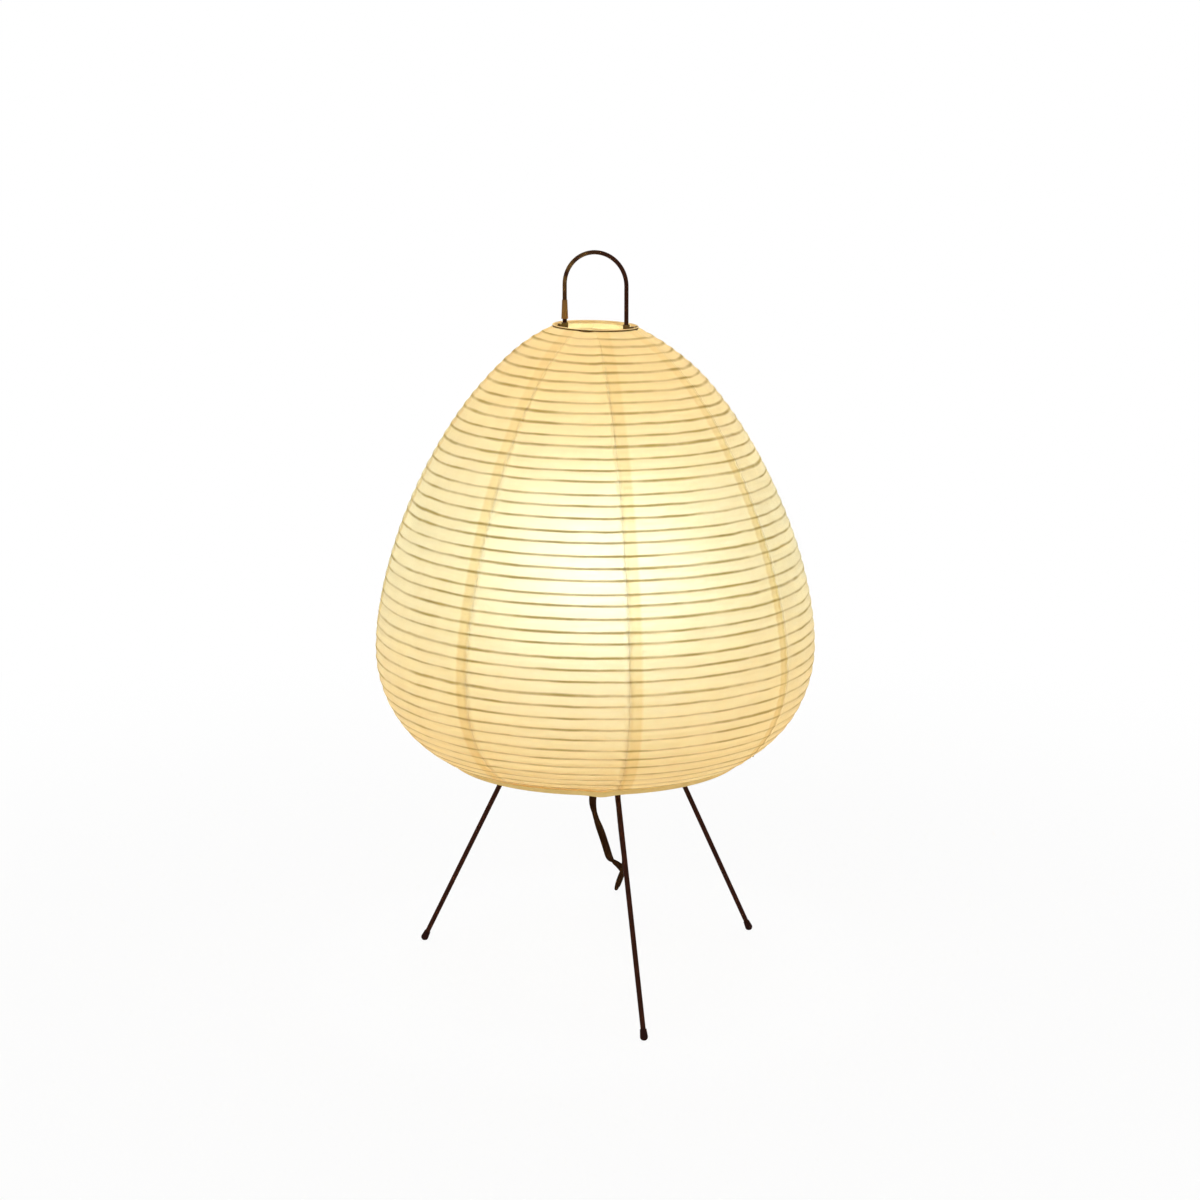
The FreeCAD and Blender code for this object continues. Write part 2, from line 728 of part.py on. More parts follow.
def ring_stays():
    """Washer under the hub and three straight wires from it to the foot ring."""
    turned("stay_washer", tube_section(NIPPLE_HOLE, "washer_radius", WASHER_FOOT, PLATE_FOOT))
    labels = ["stay_washer"]
    start = V(size("washer_radius / 2"), 0, size(f"{WASHER_FOOT} + stay_wire / 2"))
    end = V(size(FOOT_RING_RADIUS), 0, size("shade_foot_height"))
    tilt = FreeCAD.Rotation(UP, end - start)
    for i, angle in enumerate(LEGS.values(), 1):
        label = f"ring_stay_{i}"
        turn = around(size(f"{angle} + stay_turn"))
        rod = solid("Cylinder", label + "_rod", turn * FreeCAD.Placement(start, tilt),
                    Radius="stay_wire / 2",
                    Height=f"sqrt(({FOOT_RING_RADIUS} - washer_radius / 2) ^ 2"
                           f" + ({WASHER_FOOT} + stay_wire / 2 - shade_foot_height) ^ 2)")
        eye = solid("Cylinder", label + "_eye", at(0, 0, size(f"{WASHER_FOOT} - stay_wire")),
                    Radius="washer_radius + fit", Height="2 * (washer_thickness + stay_wire)")
        ring = solid("Torus", label + "_seat", at(0, 0, size("shade_foot_height")),
                     Radius1=FOOT_RING_RADIUS, Radius2="foot_ring_wire / 2 + fit")
        cut(label, rod, [eye, ring])
        labels.append(label)
    return labels


def nipple_and_grip():
    """Threaded tube through the hub, its nut, the cord grip below and the leads inside."""
    turned("nipple", tube_section("nipple_bore / 2", "nipple_diameter / 2",
                                  NIPPLE_FOOT, NIPPLE_TOP))
    hex_nut("nipple_nut", "nut_flats", NIPPLE_HOLE, "nut_thickness", at(0, 0, size(NUT_FOOT)))
    lead_hole = "(lead_offset + lead_diameter / 2 + fit)"
    turned("cord_grip", [
        (lead_hole, GRIP_FOOT),
        ("grip_end_diameter / 2", GRIP_FOOT),
        ("grip_diameter / 2", f"{NUT_FOOT} - grip_collar"),
        ("grip_diameter / 2", NUT_FOOT),
        (NIPPLE_HOLE, NUT_FOOT),
        (NIPPLE_HOLE, NIPPLE_FOOT),
        (lead_hole, NIPPLE_FOOT)])
    leads = [solid("Cylinder", f"lead_{name}", at(way * size("lead_offset"), 0, size(GRIP_FOOT)),
                   Radius="lead_diameter / 2", Height=f"{CORE_FOOT} - {GRIP_FOOT}")
             for name, way in (("left", -1), ("right", 1))]
    group("supply_leads", leads)
    return ["nipple", "nipple_nut", "cord_grip", "supply_leads"]


def lampholder():
    """Base cup on the hub with its core, contacts and screwed skirt."""
    bore = "(holder_radius - holder_wall)"
    turned("lampholder_base", [
        (NIPPLE_HOLE, "hub_height"),
        ("holder_radius", "hub_height"),
        ("holder_radius", BASE_TOP),
        (bore, BASE_TOP),
        (bore, CORE_FOOT),
        (f"{bore} - ledge_width", CORE_FOOT),
        (f"{bore} - ledge_width", "hub_height + holder_floor"),
        (NIPPLE_HOLE, "hub_height + holder_floor")])
    turned("lampholder_skirt", tube_section("holder_radius - skirt_wall", "holder_radius",
                                            BASE_TOP, f"{BASE_TOP} + skirt_height"))
    turned("lampholder_core", [("0", CORE_FOOT), (f"{bore} - core_gap", CORE_FOOT),
                               (f"{bore} - core_gap", CORE_TOP), ("0", CORE_TOP)])
    turned("thread_shell", tube_section("thread_shell_bore / 2",
                                        "thread_shell_bore / 2 + thread_shell_wall",
                                        CORE_TOP, f"{CORE_TOP} + thread_shell_height"))
    turned("centre_contact", [("0", CORE_TOP), ("contact_radius", CORE_TOP),
                              ("contact_radius", BULB_FOOT), ("0", BULB_FOOT)])
    screws = [solid("Cylinder", f"terminal_{name}",
                    at(way * size("terminal_offset"), 0, size(f"{CORE_FOOT} - terminal_height")),
                    Radius="terminal_diameter / 2", Height="terminal_height")
              for name, way in (("left", -1), ("right", 1))]
    group("terminal_screws", screws)
    return ["lampholder_base", "lampholder_skirt", "lampholder_core", "thread_shell",
            "centre_contact", "terminal_screws"]


def bulb():
    """Small round bulb with a screw cap, standing on the centre contact."""
    turned("bulb_tip", [("0", BULB_FOOT), ("0.75 * tip_radius", BULB_FOOT),
                        ("tip_radius", TIP_TOP), ("0", TIP_TOP)])
    turned("bulb_insulator", [("0", TIP_TOP), ("tip_radius", TIP_TOP),
                              ("cap_diameter / 2", INSULATOR_TOP), ("0", INSULATOR_TOP)])
    turned("bulb_cap", tube_section("cap_diameter / 2 - cap_wall", "cap_diameter / 2",
                                    INSULATOR_TOP, CAP_TOP))
    turned("bulb_neck", [("0", CAP_TOP), ("cap_diameter / 2", CAP_TOP),
                         ("cap_diameter / 2 + neck_swell", f"{CAP_TOP} + neck_length / 2"),
                         ("globe_seat_radius + neck_swell", NECK_TOP), ("0", NECK_TOP)])
    turned("bulb_board", [("0", NECK_TOP), ("board_radius", NECK_TOP),
                          ("board_radius", f"{NECK_TOP} + board_thickness"),
                          ("0", f"{NECK_TOP} + board_thickness")])
    centre = at(0, 0, size(GLOBE_CENTRE))
    ball = solid("Sphere", "globe_ball", centre, Radius="globe_radius")
    hollow = solid("Sphere", "globe_hollow", centre, Radius="globe_radius - globe_wall")
    mouth = solid("Cylinder", "globe_mouth", at(0, 0, size(f"{NECK_TOP} - globe_radius")),
                  Radius="globe_radius", Height="globe_radius")
    cut("bulb_globe", ball, [hollow, mouth])
    return ["bulb_tip", "bulb_insulator", "bulb_cap", "bulb_neck", "bulb_board", "bulb_globe"]


def coil():
    """Put-away cord: it winds in on the floor, climbs where it turns back and winds out on top."""
    centre = V(size("coil_x"), size("coil_y"), 0)
    turns = size("coil_turns")
    climb = size("coil_climb")
    low = size(COIL_FLOOR)
    rise = size("coil_pitch")

    def point_at(turn):
        radius = size("coil_radius") - rise * min(turn, turns - turn)
        angle = math.pi / 2 - 2 * math.pi * turn
        share = min(max((turn - turns / 2) / climb + 0.5, 0), 1)
        height = low + rise * (1 - math.cos(math.pi * share)) / 2
        return centre + V(radius * math.cos(angle), radius * math.sin(angle), height)

    _, head, tail = wound_tube("cord_coil", point_at, turns, size("cord_diameter / 2"),
                               size("coil_tail"), ALONG_X)
    inner = size("coil_radius - coil_pitch * coil_turns / 2 - cord_diameter / 2 - tie_gap * 3")
    outer = size("coil_radius + cord_diameter / 2 + tie_gap")
    low_side = size("coil_rise - tie_gap")
    high_side = size(f"{COIL_TOP} + cord_diameter / 2 + tie_gap")
    wall = size("tie_wall")
    width = size("tie_width")
    left = centre.x - width / 2
    band = Part.makeBox(width, outer - inner + 2 * wall, high_side - low_side + 2 * wall,
                        V(left, centre.y - outer - wall, low_side - wall))
    hole = Part.makeBox(width, outer - inner, high_side - low_side,
                        V(left, centre.y - outer, low_side))
    made("coil_tie", band.cut(hole))
    return ["cord_coil", "coil_tie"], head, tail


def in_line_switch():
    """Two screwed shells with a rocker on a pin, lying along X on the floor."""
    x, y = size("switch_x"), size("switch_y")
    foot = size("floor_gap")
    middle = size(SWITCH_MIDDLE)
    wall = size("switch_wall")
    holes = []
    screws = []
    posts = []
    for name, way in (("left", -1), ("right", 1)):
        spot = at(x + way * size("switch_post_offset"), y, foot)
        posts.append(solid("Cylinder", f"switch_post_{name}", spot, Radius="switch_post / 2",
                           Height="switch_height"))
        head = solid("Cylinder", f"switch_head_{name}", spot, Radius="switch_screw_head / 2",
                     Height="switch_screw_sink")
        shank = solid("Cylinder", f"switch_shank_{name}", spot, Radius="switch_screw_shank / 2",
                      Height="switch_height - switch_wall")
        screws.append(fuse(f"switch_screw_{name}", [head, shank]))
        holes.append(solid("Cylinder", f"switch_sink_{name}", spot,
                           Radius="switch_screw_head / 2 + fit", Height="switch_screw_sink"))
        holes.append(solid("Cylinder", f"switch_drill_{name}", spot,
                           Radius="switch_screw_shank / 2 + fit",
                           Height="switch_height - switch_wall"))
    room = solid("Box", "switch_room",
                 at(x - size("switch_length / 2") + wall, y - size("switch_width / 2") + wall,
                    foot + wall),
                 Length="switch_length - 2 * switch_wall", Width="switch_width - 2 * switch_wall",
                 Height="switch_height - 2 * switch_wall")
    hollow = cut("switch_hollow", room, posts)
    window = solid("Box", "switch_window",
                   at(x - size("window_length / 2"), y - size("window_width / 2"), middle),
                   Length="window_length", Width="window_width", Height="switch_height")
    top = foot + size("switch_height")
    for label, level, rim, tools in (("switch_lower", foot, foot, [hollow] + holes),
                                     ("switch_upper", middle, top, [hollow, window] + holes)):
        block = solid("Box", label + "_block",
                      at(x - size("switch_length / 2"), y - size("switch_width / 2"), level),
                      Length="switch_length", Width="switch_width", Height="switch_height / 2")
        rounded = rounded_block(label + "_rounded", block, UP, size("switch_round"),
                                size("switch_edge"), [rim])
        cut(label, rounded, tools)
    pivot = V(x, y, foot + size("switch_height") - size("rocker_depth"))
    across = FreeCAD.Rotation(V(0, 1, 0), size("rocker_tilt"))
    corner = V(-size("rocker_length / 2"), -size("rocker_width / 2"), -size("rocker_height / 2"))
    rocker = solid("Box", "rocker_block",
                   FreeCAD.Placement(pivot, across) * FreeCAD.Placement(corner, FreeCAD.Rotation()),
                   Length="rocker_length", Width="rocker_width", Height="rocker_height")
    sideways = FreeCAD.Rotation(V(1, 0, 0), -90)
    eye = solid("Cylinder", "rocker_eye",
                FreeCAD.Placement(pivot - V(0, size("switch_width / 2 - switch_wall"), 0), sideways),
                Radius="pin_diameter / 2 + slide_gap", Height="switch_width - 2 * switch_wall")
    cut("switch_rocker", rocker, [eye])
    solid("Cylinder", "rocker_pin",
          FreeCAD.Placement(pivot - V(0, size(f"{PIN_LENGTH} / 2"), 0), sideways),
          Radius="pin_diameter / 2", Height=PIN_LENGTH)
    group("switch_screws", screws)
    ends = [V(x + way * size("switch_length / 2 + cord_end_gap"), y, middle) for way in (1, -1)]
    return ["switch_lower", "switch_upper", "switch_rocker", "rocker_pin", "switch_screws"], ends


def plug(start):
    """Two-blade plug with its tapered relief, lying along X from the cord's end."""
    lying = FreeCAD.Rotation(V(0, 1, 0), 90)
    solid("Cone", "plug_relief", FreeCAD.Placement(start, lying), Radius1="relief_end_diameter / 2",
          Radius2="relief_diameter / 2", Height="relief_length")
    back = start + ALONG_X * size("relief_length")
    block = solid("Box", "plug_block",
                  at(back.x, back.y - size("plug_width / 2"), back.z - size("plug_height / 2")),
                  Length="plug_length", Width="plug_width", Height="plug_height")
    rounded_block("plug_body", block, ALONG_X, size("plug_round"), size("plug_edge"),
                  [back.x, back.x + size("plug_length")])
    blades = []
    for name, way in (("near", -1), ("far", 1)):
        middle = back.y + way * size("blade_spacing / 2")
        blades.append(solid("Box", f"blade_{name}",
                            at(back.x + size("plug_length"), middle - size("blade_thickness / 2"),
                               back.z - size("blade_width / 2")),
                            Length="blade_length", Width="blade_thickness", Height="blade_width"))
    group("plug_blades", blades)
    return ["plug_relief", "plug_body", "plug_blades"]


def cords(switch_ends, coil_head):
    """Cord from the grip to the switch, and from the switch to the coil."""
    low = size("floor_gap + cord_diameter / 2")
    near, far = switch_ends
    hanging = [V(0, 0, size(f"{GRIP_FOOT} - cord_end_gap")), V(0, 0, 118.5), V(-2.4, 0.2, 106),
               V(0.3, 0.3, 95), V(3.6, 0.5, 86), V(6.5, 0.8, 76.5), V(8.7, 1.8, 68.4),
               V(12.6, 12.5, 62.6), V(16.8, 35, 51.5), V(17.3, 60, 40.8), V(16.2, 98, 22.6),
               V(13.8, 136.8, low), V(15.4, 160, low), V(20.4, 192, low), V(19, 236, low),
               V(17.6, 290, low), V(16.6, 344, low), V(16.4, 387.6, low), V(9, 400.5, 3.2),
               V(-6.5, near.y, near.z), near]
    cord_tube("cord_lamp", hanging)
    link = [far, V(-78, far.y, far.z), V(-88.6, 411.2, 3.6), V(-96.8, 419.8, low),
            V(-100, 430.6, low), V(-97.2, 441.7, low), V(-89.5, 450.2, low), V(-78.5, 453.6, low),
            V(-60, 453.4, low), V(-38, 451.5, low), V(-14, 450.3, low), V(6, 451.5, 2.9),
            V(19, coil_head.y, coil_head.z), coil_head]
    cord_tube("cord_link", link)
    return ["cord_lamp", "cord_link"]


nodes = paper_shade() + bamboo_rib() + rings() + handle_frame() + frame_fittings() + ring_clips()
nodes += legs() + leg_hub() + ring_stays() + nipple_and_grip() + lampholder() + bulb()
coil_labels, coil_start, coil_end = coil()
switch_labels, switch_cord_ends = in_line_switch()
nodes += coil_labels + switch_labels + plug(coil_end) + cords(switch_cord_ends, coil_start)
doc.recompute()

for item in doc.Objects:
    if "Invalid" in item.State or "Error" in item.State:
        raise RuntimeError(f"{item.Label} failed: {item.State}")
os.makedirs("parts", exist_ok=True)
shapes = {}
for node in nodes:
    shapes[node] = doc.getObjectsByLabel(node)[0].Shape
    if shapes[node].isNull() or not shapes[node].isValid() or not shapes[node].Solids:
        raise RuntimeError(f"{node} has no valid solid")
for node, shape in shapes.items():
    shape.exportStep(f"parts/{node}.step")
print(len(shapes), "nodes")
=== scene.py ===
"""Paper lantern lamp: paper, rib, wires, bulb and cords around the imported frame."""
import json
import math

import bpy
import numpy as np
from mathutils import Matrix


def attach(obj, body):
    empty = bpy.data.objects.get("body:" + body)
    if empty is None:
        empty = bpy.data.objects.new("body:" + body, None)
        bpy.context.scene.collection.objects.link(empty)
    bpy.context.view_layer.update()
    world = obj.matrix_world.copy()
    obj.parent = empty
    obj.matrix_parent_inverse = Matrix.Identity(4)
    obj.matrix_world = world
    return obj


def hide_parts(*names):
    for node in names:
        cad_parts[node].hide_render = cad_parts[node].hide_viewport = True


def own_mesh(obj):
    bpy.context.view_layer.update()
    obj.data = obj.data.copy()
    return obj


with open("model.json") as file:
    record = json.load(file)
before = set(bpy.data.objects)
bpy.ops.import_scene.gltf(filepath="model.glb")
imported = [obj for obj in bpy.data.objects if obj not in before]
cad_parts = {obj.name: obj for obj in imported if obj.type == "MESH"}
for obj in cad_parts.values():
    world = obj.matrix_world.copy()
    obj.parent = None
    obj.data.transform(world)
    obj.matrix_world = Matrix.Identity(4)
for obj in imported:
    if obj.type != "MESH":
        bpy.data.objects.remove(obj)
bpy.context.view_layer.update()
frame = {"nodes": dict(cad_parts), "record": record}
CAD = frame["nodes"]
MM = 0.001
TAU = 2 * math.pi

# Sizes that follow the part's source, in millimetres and radians
FOOT_EDGE = np.array([88.5, 138.2])
BELLY = np.array([130.9, 205.3])
TOP_EDGE = np.array([25.3, 393.2])
FOOT_SLOPE, FOOT_REACH = math.radians(25.4), 32.8
TOP_SLOPE, TOP_REACH = math.radians(23.5), 64.8
BELLY_REACH_DOWN, BELLY_REACH_UP = 26.2, 58.7
GORES, FIRST_SEAM, SEAM_LAP = 8, math.radians(-80.0), 8.0
PAPER, GLUE = 0.4, 0.1
RIB_START, RIB_PITCH, RIB_TURNS, RIB_ANGLE = 5.0, 6.96, 42.75, math.radians(94.5)
RIB_WIDTH, CORD_WIDTH = 1.3, 4.5
FOOT_RING, FOOT_WIRE = np.array([87.0, 138.2]), 1.2
TOP_RING, TOP_WIRE = np.array([24.2, 393.2]), 0.8
COIL_CENTRE, COIL_RADIUS, COIL_PITCH, COIL_TURNS = np.array([45.0, 418.5]), 33.5, 5.0, 6
COIL_TAIL, COIL_RISE, FLOOR_GAP = 14.0, 1.2, 0.1
# Thin way of the rib and of the flex, which are round in the part's source
RIB_DEPTH, CORD_THICKNESS = 1.0, 2.25
# Small faults of the hand-made shade: the lean of its mouth, and the sag of its foot edge
MOUTH_LEAN, LEAN_HEIGHT = 0.03, 30.0
SAG, SAG_ANGLE, SAG_WIDTH, SAG_HEIGHT = 1.3, math.radians(-87.7), math.radians(4.5), 8.0
# Paper as it shows: its wall, its place under the outline, how far it draws in between windings,
# its waviness, the length over which both fade at its ends, and the width of an inner gore's rise
WALL, PAPER_INSET, DRAW, WAVE, END_FADE, EDGE_RISE = 0.14, 0.1, 0.42, 0.1, 6.0, 5.0
GORE_ROWS, GORE_COLUMNS = 345, 29
# Value of the lap where no seam is near, and of the rib count midway between windings
NO_LAP, BETWEEN_RIBS = 99.0, 0.5
# Paper folded round the wire at the foot: half its thickness, its gap to the wire and its degrees
# round it, then its lengths up the paper and its depths under the outline, outside and inside
HEM_HALF, HEM_GAP, HEM_TURN = 0.12, 0.35, (-52, -255)
HEM_OUTSIDE, HEM_SINK, HEM_INSIDE, HEM_INSET = (6, 0.6), (0.3, -0.28), (1.2, 3.6), 1.75
# Paper folded over the wire in the mouth: gaps of its two faces to the wire, and its degrees round
# the wire at its start, where it is shortest, and what is added at the back
TOP_HEM_FACES, TOP_HEM_START, TOP_HEM_SHORT, TOP_HEM_BACK = (0.4, 0.2), 40, 65, 140
# Flex: depth and width of its groove as shares of a core, lengths over which it stops hanging,
# turns on edge and enters the coil, how far it settles there, and where that ends before the plug
GROOVE_DEPTH, GROOVE_WIDTH = 0.36, 0.5
HANGING_ENDS, TURNS_ON_EDGE, ENTERS_COIL = (70, 200), (120, 180), (110, 190)
COIL_SETTLES, PLUG_REACH = 0.6, 30
# Tie of the coil: room beside the flex, lowest point, bite into the coil, half its width and half
# its thickness, and the power that rounds its corners
TIE_ROOM, TIE_LOW, TIE_BITE = 2.2, 0.32, 0.2
TIE_HALF_WIDTH, TIE_HALF, TIE_POWER = 2.6, 0.28, 2 / 7
# Screw cap of the bulb
CAP_LOW, CAP_HIGH, CAP_WALL = 196.5, 214.0, 0.8
CAP_RADIUS, THREAD_DEPTH, THREAD_PITCH, CAP_FLARE = 12.55, 0.6, 3.63, 0.4
# Camera: photograph's width and focal length in pixels, place in metres, pitch and turn
PHOTO_WIDTH, FOCAL = 1200, 2543
CAMERA_PLACE, CAMERA_PITCH, CAMERA_TURN = (0, -1.474, 0.560), math.radians(90 - 12.59), -0.0018


# Meshes

def eased(value, start, end):
    """Zero before the start, one after the end, and a smooth step between."""
    share = np.clip((value - start) / (end - start), 0, 1)
    return share * share * (3 - 2 * share)


def surface(name, points, values=None, uv=None, round_ways=(False, False), capped=False):
    """Mesh from a grid of points in millimetres: every cell between four neighbours is one quad.

    round_ways says whether the last row meets the first, and the last column the first.
    values holds one number per point under each name, and uv one pair per point. A capped
    tube has one face over its first row and one over its last.
    """
    points = np.asarray(points, float)
    rows, columns = points.shape[:2]
    index = np.arange(rows * columns).reshape(rows, columns)
    if round_ways[0]:
        index = np.concatenate([index, index[:1]], 0)
    if round_ways[1]:
        index = np.concatenate([index, index[:, :1]], 1)
    quads = np.stack([index[:-1, :-1], index[:-1, 1:], index[1:, 1:], index[1:, :-1]], -1)
    faces = quads.reshape(-1, 4).tolist()
    if capped:
        faces += [index[0, :columns][::-1].tolist(), index[-1, :columns].tolist()]
    mesh = bpy.data.meshes.new(name)
    mesh.from_pydata((points.reshape(-1, 3) * MM).tolist(), [], faces)
    for key, numbers in (values or {}).items():
        attribute = mesh.attributes.new(key, "FLOAT", "POINT")
        attribute.data.foreach_set("value", np.asarray(numbers, np.float32).ravel())
    if uv is not None:
        corners = np.empty(len(mesh.loops), np.int32)
        mesh.loops.foreach_get("vertex_index", corners)
        layer = mesh.uv_layers.new(name="UVMap")
        layer.data.foreach_set("uv", np.asarray(uv, np.float32).reshape(-1, 2)[corners].ravel())
    mesh.polygons.foreach_set("use_smooth", np.full(len(mesh.polygons), True))
    mesh.update()
    piece = bpy.data.objects.new(name, mesh)
    bpy.context.collection.objects.link(piece)
    return piece


def turned(radius, height, angle):
    """Points of a profile turned about the lamp's axis: rows up the profile, columns round it."""
    radius, height, angle = np.broadcast_arrays(radius, height, angle)
    return np.stack([radius * np.cos(angle), radius * np.sin(angle), height], -1)


def unit(vectors):
    """The vectors at length one."""
    return vectors / np.linalg.norm(vectors, axis=-1, keepdims=True)


def circle(count):
    """Angles at that many even steps round a full turn."""
    return np.linspace(0, TAU, count + 1)[:-1]


def run_lengths(path):
    """Length along the path at each of its points."""
    return np.concatenate([[0], np.cumsum(np.linalg.norm(np.diff(path, axis=0), axis=1))])


def carried(path, sides, wide, thick):
    """A section carried along a path: each row is one section of points wide * side + thick * lift.

    sides gives the unit vector of the section's wide way at each path point; its thin way is
    square to that and to the path.
    """
    along = unit(np.gradient(path, axis=0))
    sides = unit(sides - along * np.sum(sides * along, -1, keepdims=True))
    lifts = np.cross(along, sides)
    return (path[:, None] + wide[None, :, None] * sides[:, None]
            + thick[None, :, None] * lifts[:, None])


# The paper's outline: two Bezier spans, measured by length from the foot edge

def bezier(poles, share):
    """Cubic Bezier: each pole weighted by its Bernstein polynomial of the share."""
    share = share[:, None]
    rest = 1 - share
    weights = (rest ** 3, 3 * rest ** 2 * share, 3 * rest * share ** 2, share ** 3)
    return sum(weight * pole for weight, pole in zip(weights, poles))


def paper_outline():
    """Lengths, points (radius, height) and outward normals at close steps up the outline."""
    share = np.linspace(0, 1, 600)
    foot_way = np.array([math.cos(FOOT_SLOPE), math.sin(FOOT_SLOPE)])
    top_way = np.array([math.cos(TOP_SLOPE), -math.sin(TOP_SLOPE)])
    up = np.array([0.0, 1.0])
    lower = bezier((FOOT_EDGE, FOOT_EDGE + foot_way * FOOT_REACH,
                    BELLY - up * BELLY_REACH_DOWN, BELLY), share)
    upper = bezier((BELLY, BELLY + up * BELLY_REACH_UP, TOP_EDGE + top_way * TOP_REACH,
                    TOP_EDGE), share)
    points = np.concatenate([lower, upper[1:]])
    way = unit(np.gradient(points, axis=0))
    return run_lengths(points), points, np.stack([way[:, 1], -way[:, 0]], -1)


LENGTHS, OUTLINE, NORMALS = paper_outline()
PAPER_LENGTH = LENGTHS[-1]


def on_paper(length, inset):
    """Radius and height beside the paper at a length from its foot edge, moved in by the inset."""
    radius = np.interp(length, LENGTHS, OUTLINE[:, 0])
    height = np.interp(length, LENGTHS, OUTLINE[:, 1])
    out = np.interp(length, LENGTHS, NORMALS[:, 0])
    rise = np.interp(length, LENGTHS, NORMALS[:, 1])
    return radius - inset * out, height - inset * rise


def rib_wander(turn):
    """Millimetres that the hand-laid rib strays from its pitch: four slow waves of the turn."""
    waves = ((0.26, 0.37, 0.4), (0.2, 0.61, 2.1), (0.11, 1.3, 4.0), (0.06, 2.2, 1.2))
    return sum(size * np.sin(TAU * rate * turn + start) for size, rate, start in waves)


def rib_count(length, angle):
    """Turns from the rib's nearest winding: a whole number on the rib, a half midway between."""
    stray = rib_wander((length - RIB_START) / RIB_PITCH)
    return (length - RIB_START + stray) / RIB_PITCH + (angle - RIB_ANGLE) / TAU


def hand_made(points, seam_dip):
    """Points of the shade with its two small faults: the mouth leans to the right and a foot
    edge sags beside one seam.

    The lean lowers each point by a share of its X that grows over the top; the sag is a bell
    curve of the angle that fades out above the foot edge.
    """
    points = points.copy()
    x, y, z = np.moveaxis(points, -1, 0)
    near_top = eased(z, TOP_EDGE[1] - LEAN_HEIGHT, TOP_EDGE[1])
    near_foot = 1 - eased(z, FOOT_EDGE[1], FOOT_EDGE[1] + SAG_HEIGHT)
    off = np.angle(np.exp(1j * (np.arctan2(y, x) - SAG_ANGLE)))
    points[..., 2] -= MOUTH_LEAN * x * near_top
    points[..., 2] -= seam_dip * near_foot * np.exp(-(off / SAG_WIDTH) ** 2)
    return points


def paper_gore(number):
    """One gore of paper, pasted to the rib and drawn in a little between its windings.

    Rows climb the outline and columns cross the gore. The inward draw is a sine squared of the
    rib count, and two slow waves stand for hand-pasted unevenness. Gores with an even number
    lie on the outside, wider by the lap of the seam; the others rise to meet their edges.
    The UV map is the gore laid flat, in metres.
    """
    outside = number % 2 == 0
    length = np.linspace(0, PAPER_LENGTH, GORE_ROWS)[:, None]
    across = np.linspace(-1, 1, GORE_COLUMNS)[None, :]
    radius, _ = on_paper(length, 0)
    middle = FIRST_SEAM + (number + 0.5) * TAU / GORES
    spare = SEAM_LAP / 2 if outside else -SEAM_LAP / 2
    half_angle = TAU / GORES / 2 + np.arcsin(spare / radius)
    angle = middle + across * half_angle
    count = rib_count(length, angle)
    ends = np.clip(np.minimum(length, PAPER_LENGTH - length) / END_FADE, 0, 1)
    draw = DRAW * np.sin(math.pi * count) ** 2 * ends
    slack = WAVE * np.sin(9 * angle + length / 31) * np.sin(length / 17 + 4 * angle) * ends
    from_edge = half_angle * radius * (1 - np.abs(across))
    under = 0 if outside else (PAPER + GLUE) * eased(from_edge, 0, EDGE_RISE)
    spot, height = on_paper(length + 0 * angle, under + draw + slack + PAPER_INSET)
    values = {"rib_count": count,
              "length_up": length + 0 * angle,
              "lap": from_edge if outside else 0 * from_edge + NO_LAP}
    points = hand_made(turned(spot, height, angle), SAG)
    piece = surface(f"paper_gore_{number + 1}", points, values,
                    np.stack([across * half_angle * radius * MM, (length + 0 * across) * MM], -1))
    wall = piece.modifiers.new("paper_thickness", "SOLIDIFY")
    wall.thickness = WALL * MM
    wall.offset = -1
    return piece


def foot_hem():
    """Narrow strip of paper folded round the foot ring.

    Its section comes out of the paper on its way down to the edge, goes round the wire on a circle
    and comes back along the inside; the strip's two faces lie half its thickness to each side.
    """
    outside = np.stack(on_paper(np.linspace(*HEM_OUTSIDE, 8), np.linspace(*HEM_SINK, 8)), -1)
    turn = np.radians(np.linspace(*HEM_TURN, 22))[:, None]
    fold = FOOT_RING + (FOOT_WIRE + HEM_GAP) * np.concatenate([np.cos(turn), np.sin(turn)], 1)
    inside = np.stack(on_paper(np.linspace(*HEM_INSIDE, 4), HEM_INSET), -1)
    line = np.concatenate([outside, fold, inside])
    way = unit(np.gradient(line, axis=0))
    off = HEM_HALF * np.stack([-way[:, 1], way[:, 0]], -1)
    loop = np.concatenate([line + off, (line - off)[::-1]])
    points = hand_made(turned(loop[:, :1], loop[:, 1:], circle(192)[None, :]), SAG)
    return surface("foot_hem", points, round_ways=(True, True))


def top_hem():
    """Paper edge folded over the mouth's wire ring: far in at the back, cut short at the front.

    Its section is an arc round the wire, which ends where a smooth step of the angle about the
    axis lets it; its two faces are arcs of slightly different radius.
    """
    angle = circle(144)[None, :]
    back = eased(np.sin(angle - 0.2), -0.25, 0.12)
    start = math.radians(TOP_HEM_START)
    reach = np.radians(TOP_HEM_SHORT + TOP_HEM_BACK * back + 5 * np.sin(5 * angle + 1))
    turn = start + (reach - start) * np.linspace(0, 1, 19)[:, None]
    turn = np.concatenate([turn, turn[::-1]])
    ring = TOP_WIRE + np.repeat(TOP_HEM_FACES, len(turn) // 2)[:, None]
    points = hand_made(turned(TOP_RING[0] + ring * np.cos(turn), TOP_RING[1] + ring * np.sin(turn),
                              angle), 0)
    values = {"rib_count": 0 * turn + BETWEEN_RIBS,
              "length_up": 0 * turn + PAPER_LENGTH,
              "lap": 0 * turn + NO_LAP}
    return surface("top_hem", points, values, round_ways=(True, True))


